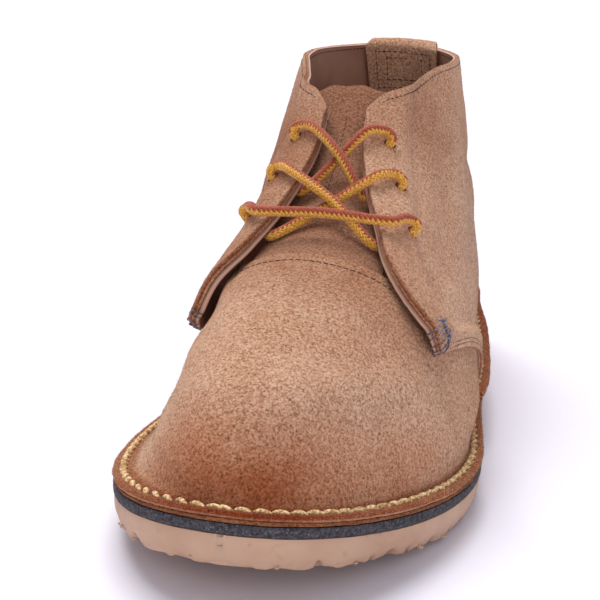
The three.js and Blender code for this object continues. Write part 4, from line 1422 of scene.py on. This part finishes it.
def label_braid(mesh, along):
    """Writes the run along the cord, in mm, and the turn round it to a UV map."""
    corners = values_of(mesh.loops, "vertex_index", kind=int)
    row, column = corners // BRAID_SIDES, (corners % BRAID_SIDES).astype(float)
    starts = values_of(mesh.polygons, "loop_start", kind=int)
    sizes = values_of(mesh.polygons, "loop_total", kind=int)
    quads = starts[sizes == 4][:, None] + np.arange(4)
    wraps = column[quads].max(1) - column[quads].min(1) > BRAID_SIDES / 2
    picked = quads[wraps]
    column[picked] = np.where(column[picked] == 0, BRAID_SIDES, column[picked])
    layer = mesh.uv_layers.new(name="braid")
    layer.data.foreach_set("uv", np.stack([along[row], column / BRAID_SIDES], -1).ravel())


lace()


# ---------------------------------------------------------------- floor, light and camera
def floor():
    mesh = bpy.data.meshes.new("floor")
    reach = 6.0
    corners = [(-reach, -reach, 0), (reach, -reach, 0), (reach, reach, 0), (-reach, reach, 0)]
    mesh.from_pydata(corners, [], [(0, 1, 2, 3)])
    finish = bpy.data.materials.new("floor")
    finish.use_nodes = True
    shader = finish.node_tree.nodes["Principled BSDF"]
    shader.inputs["Base Color"].default_value = (0.82, 0.81, 0.90, 1)
    shader.inputs["Roughness"].default_value = 0.9
    mesh.materials.append(finish)
    piece = bpy.data.objects.new("floor", mesh)
    bpy.context.scene.collection.objects.link(piece)


def daylight(name, towards, softness, strength, tint):
    """An even, soft light from far away, so that the floor is as bright behind as in front."""
    light = bpy.data.lights.new(name, "SUN")
    light.angle, light.energy, light.color = math.radians(softness), strength, tint
    lamp = bpy.data.objects.new(name, light)
    lamp.rotation_mode = "QUATERNION"
    lamp.rotation_quaternion = Vector(towards).to_track_quat("-Z", "Y")
    bpy.context.scene.collection.objects.link(lamp)


def studio():
    world = bpy.data.worlds.new("studio")
    world.use_nodes = True
    background = world.node_tree.nodes["Background"]
    background.inputs["Color"].default_value = (0.94, 0.93, 1.0, 1)
    background.inputs["Strength"].default_value = 0.46
    bpy.context.scene.world = world
    daylight("key", (0.26, -0.40, -1.0), 40, 2.9, (1.0, 0.99, 0.97))
    daylight("fill", (-0.30, 1.0, -0.30), 60, 0.85, (0.985, 0.99, 1.0))
    bpy.context.scene.view_settings.view_transform = "Standard"


CAMERA_PLACE = (0.0983, -0.5184, 0.1841)
CAMERA_AZIMUTH, CAMERA_ELEVATION, CAMERA_ROLL, LENS = 12.7, 14.8, 2.5, 98


def camera():
    """The photograph's view: from the toe, slightly lateral and above."""
    a, e = math.radians(CAMERA_AZIMUTH), math.radians(CAMERA_ELEVATION)
    back = Vector((math.sin(a) * math.cos(e), -math.cos(a) * math.cos(e), math.sin(e)))
    eye = bpy.data.objects.new("camera", bpy.data.cameras.new("camera"))
    eye.data.lens, eye.data.sensor_width = LENS, 36
    turn = (-back).to_track_quat("-Z", "Y").to_matrix().to_4x4()
    roll = Matrix.Rotation(math.radians(CAMERA_ROLL), 4, "Z")
    eye.matrix_world = Matrix.Translation(CAMERA_PLACE) @ turn @ roll
    bpy.context.scene.collection.objects.link(eye)
    bpy.context.scene.camera = eye


floor()
studio()
camera()
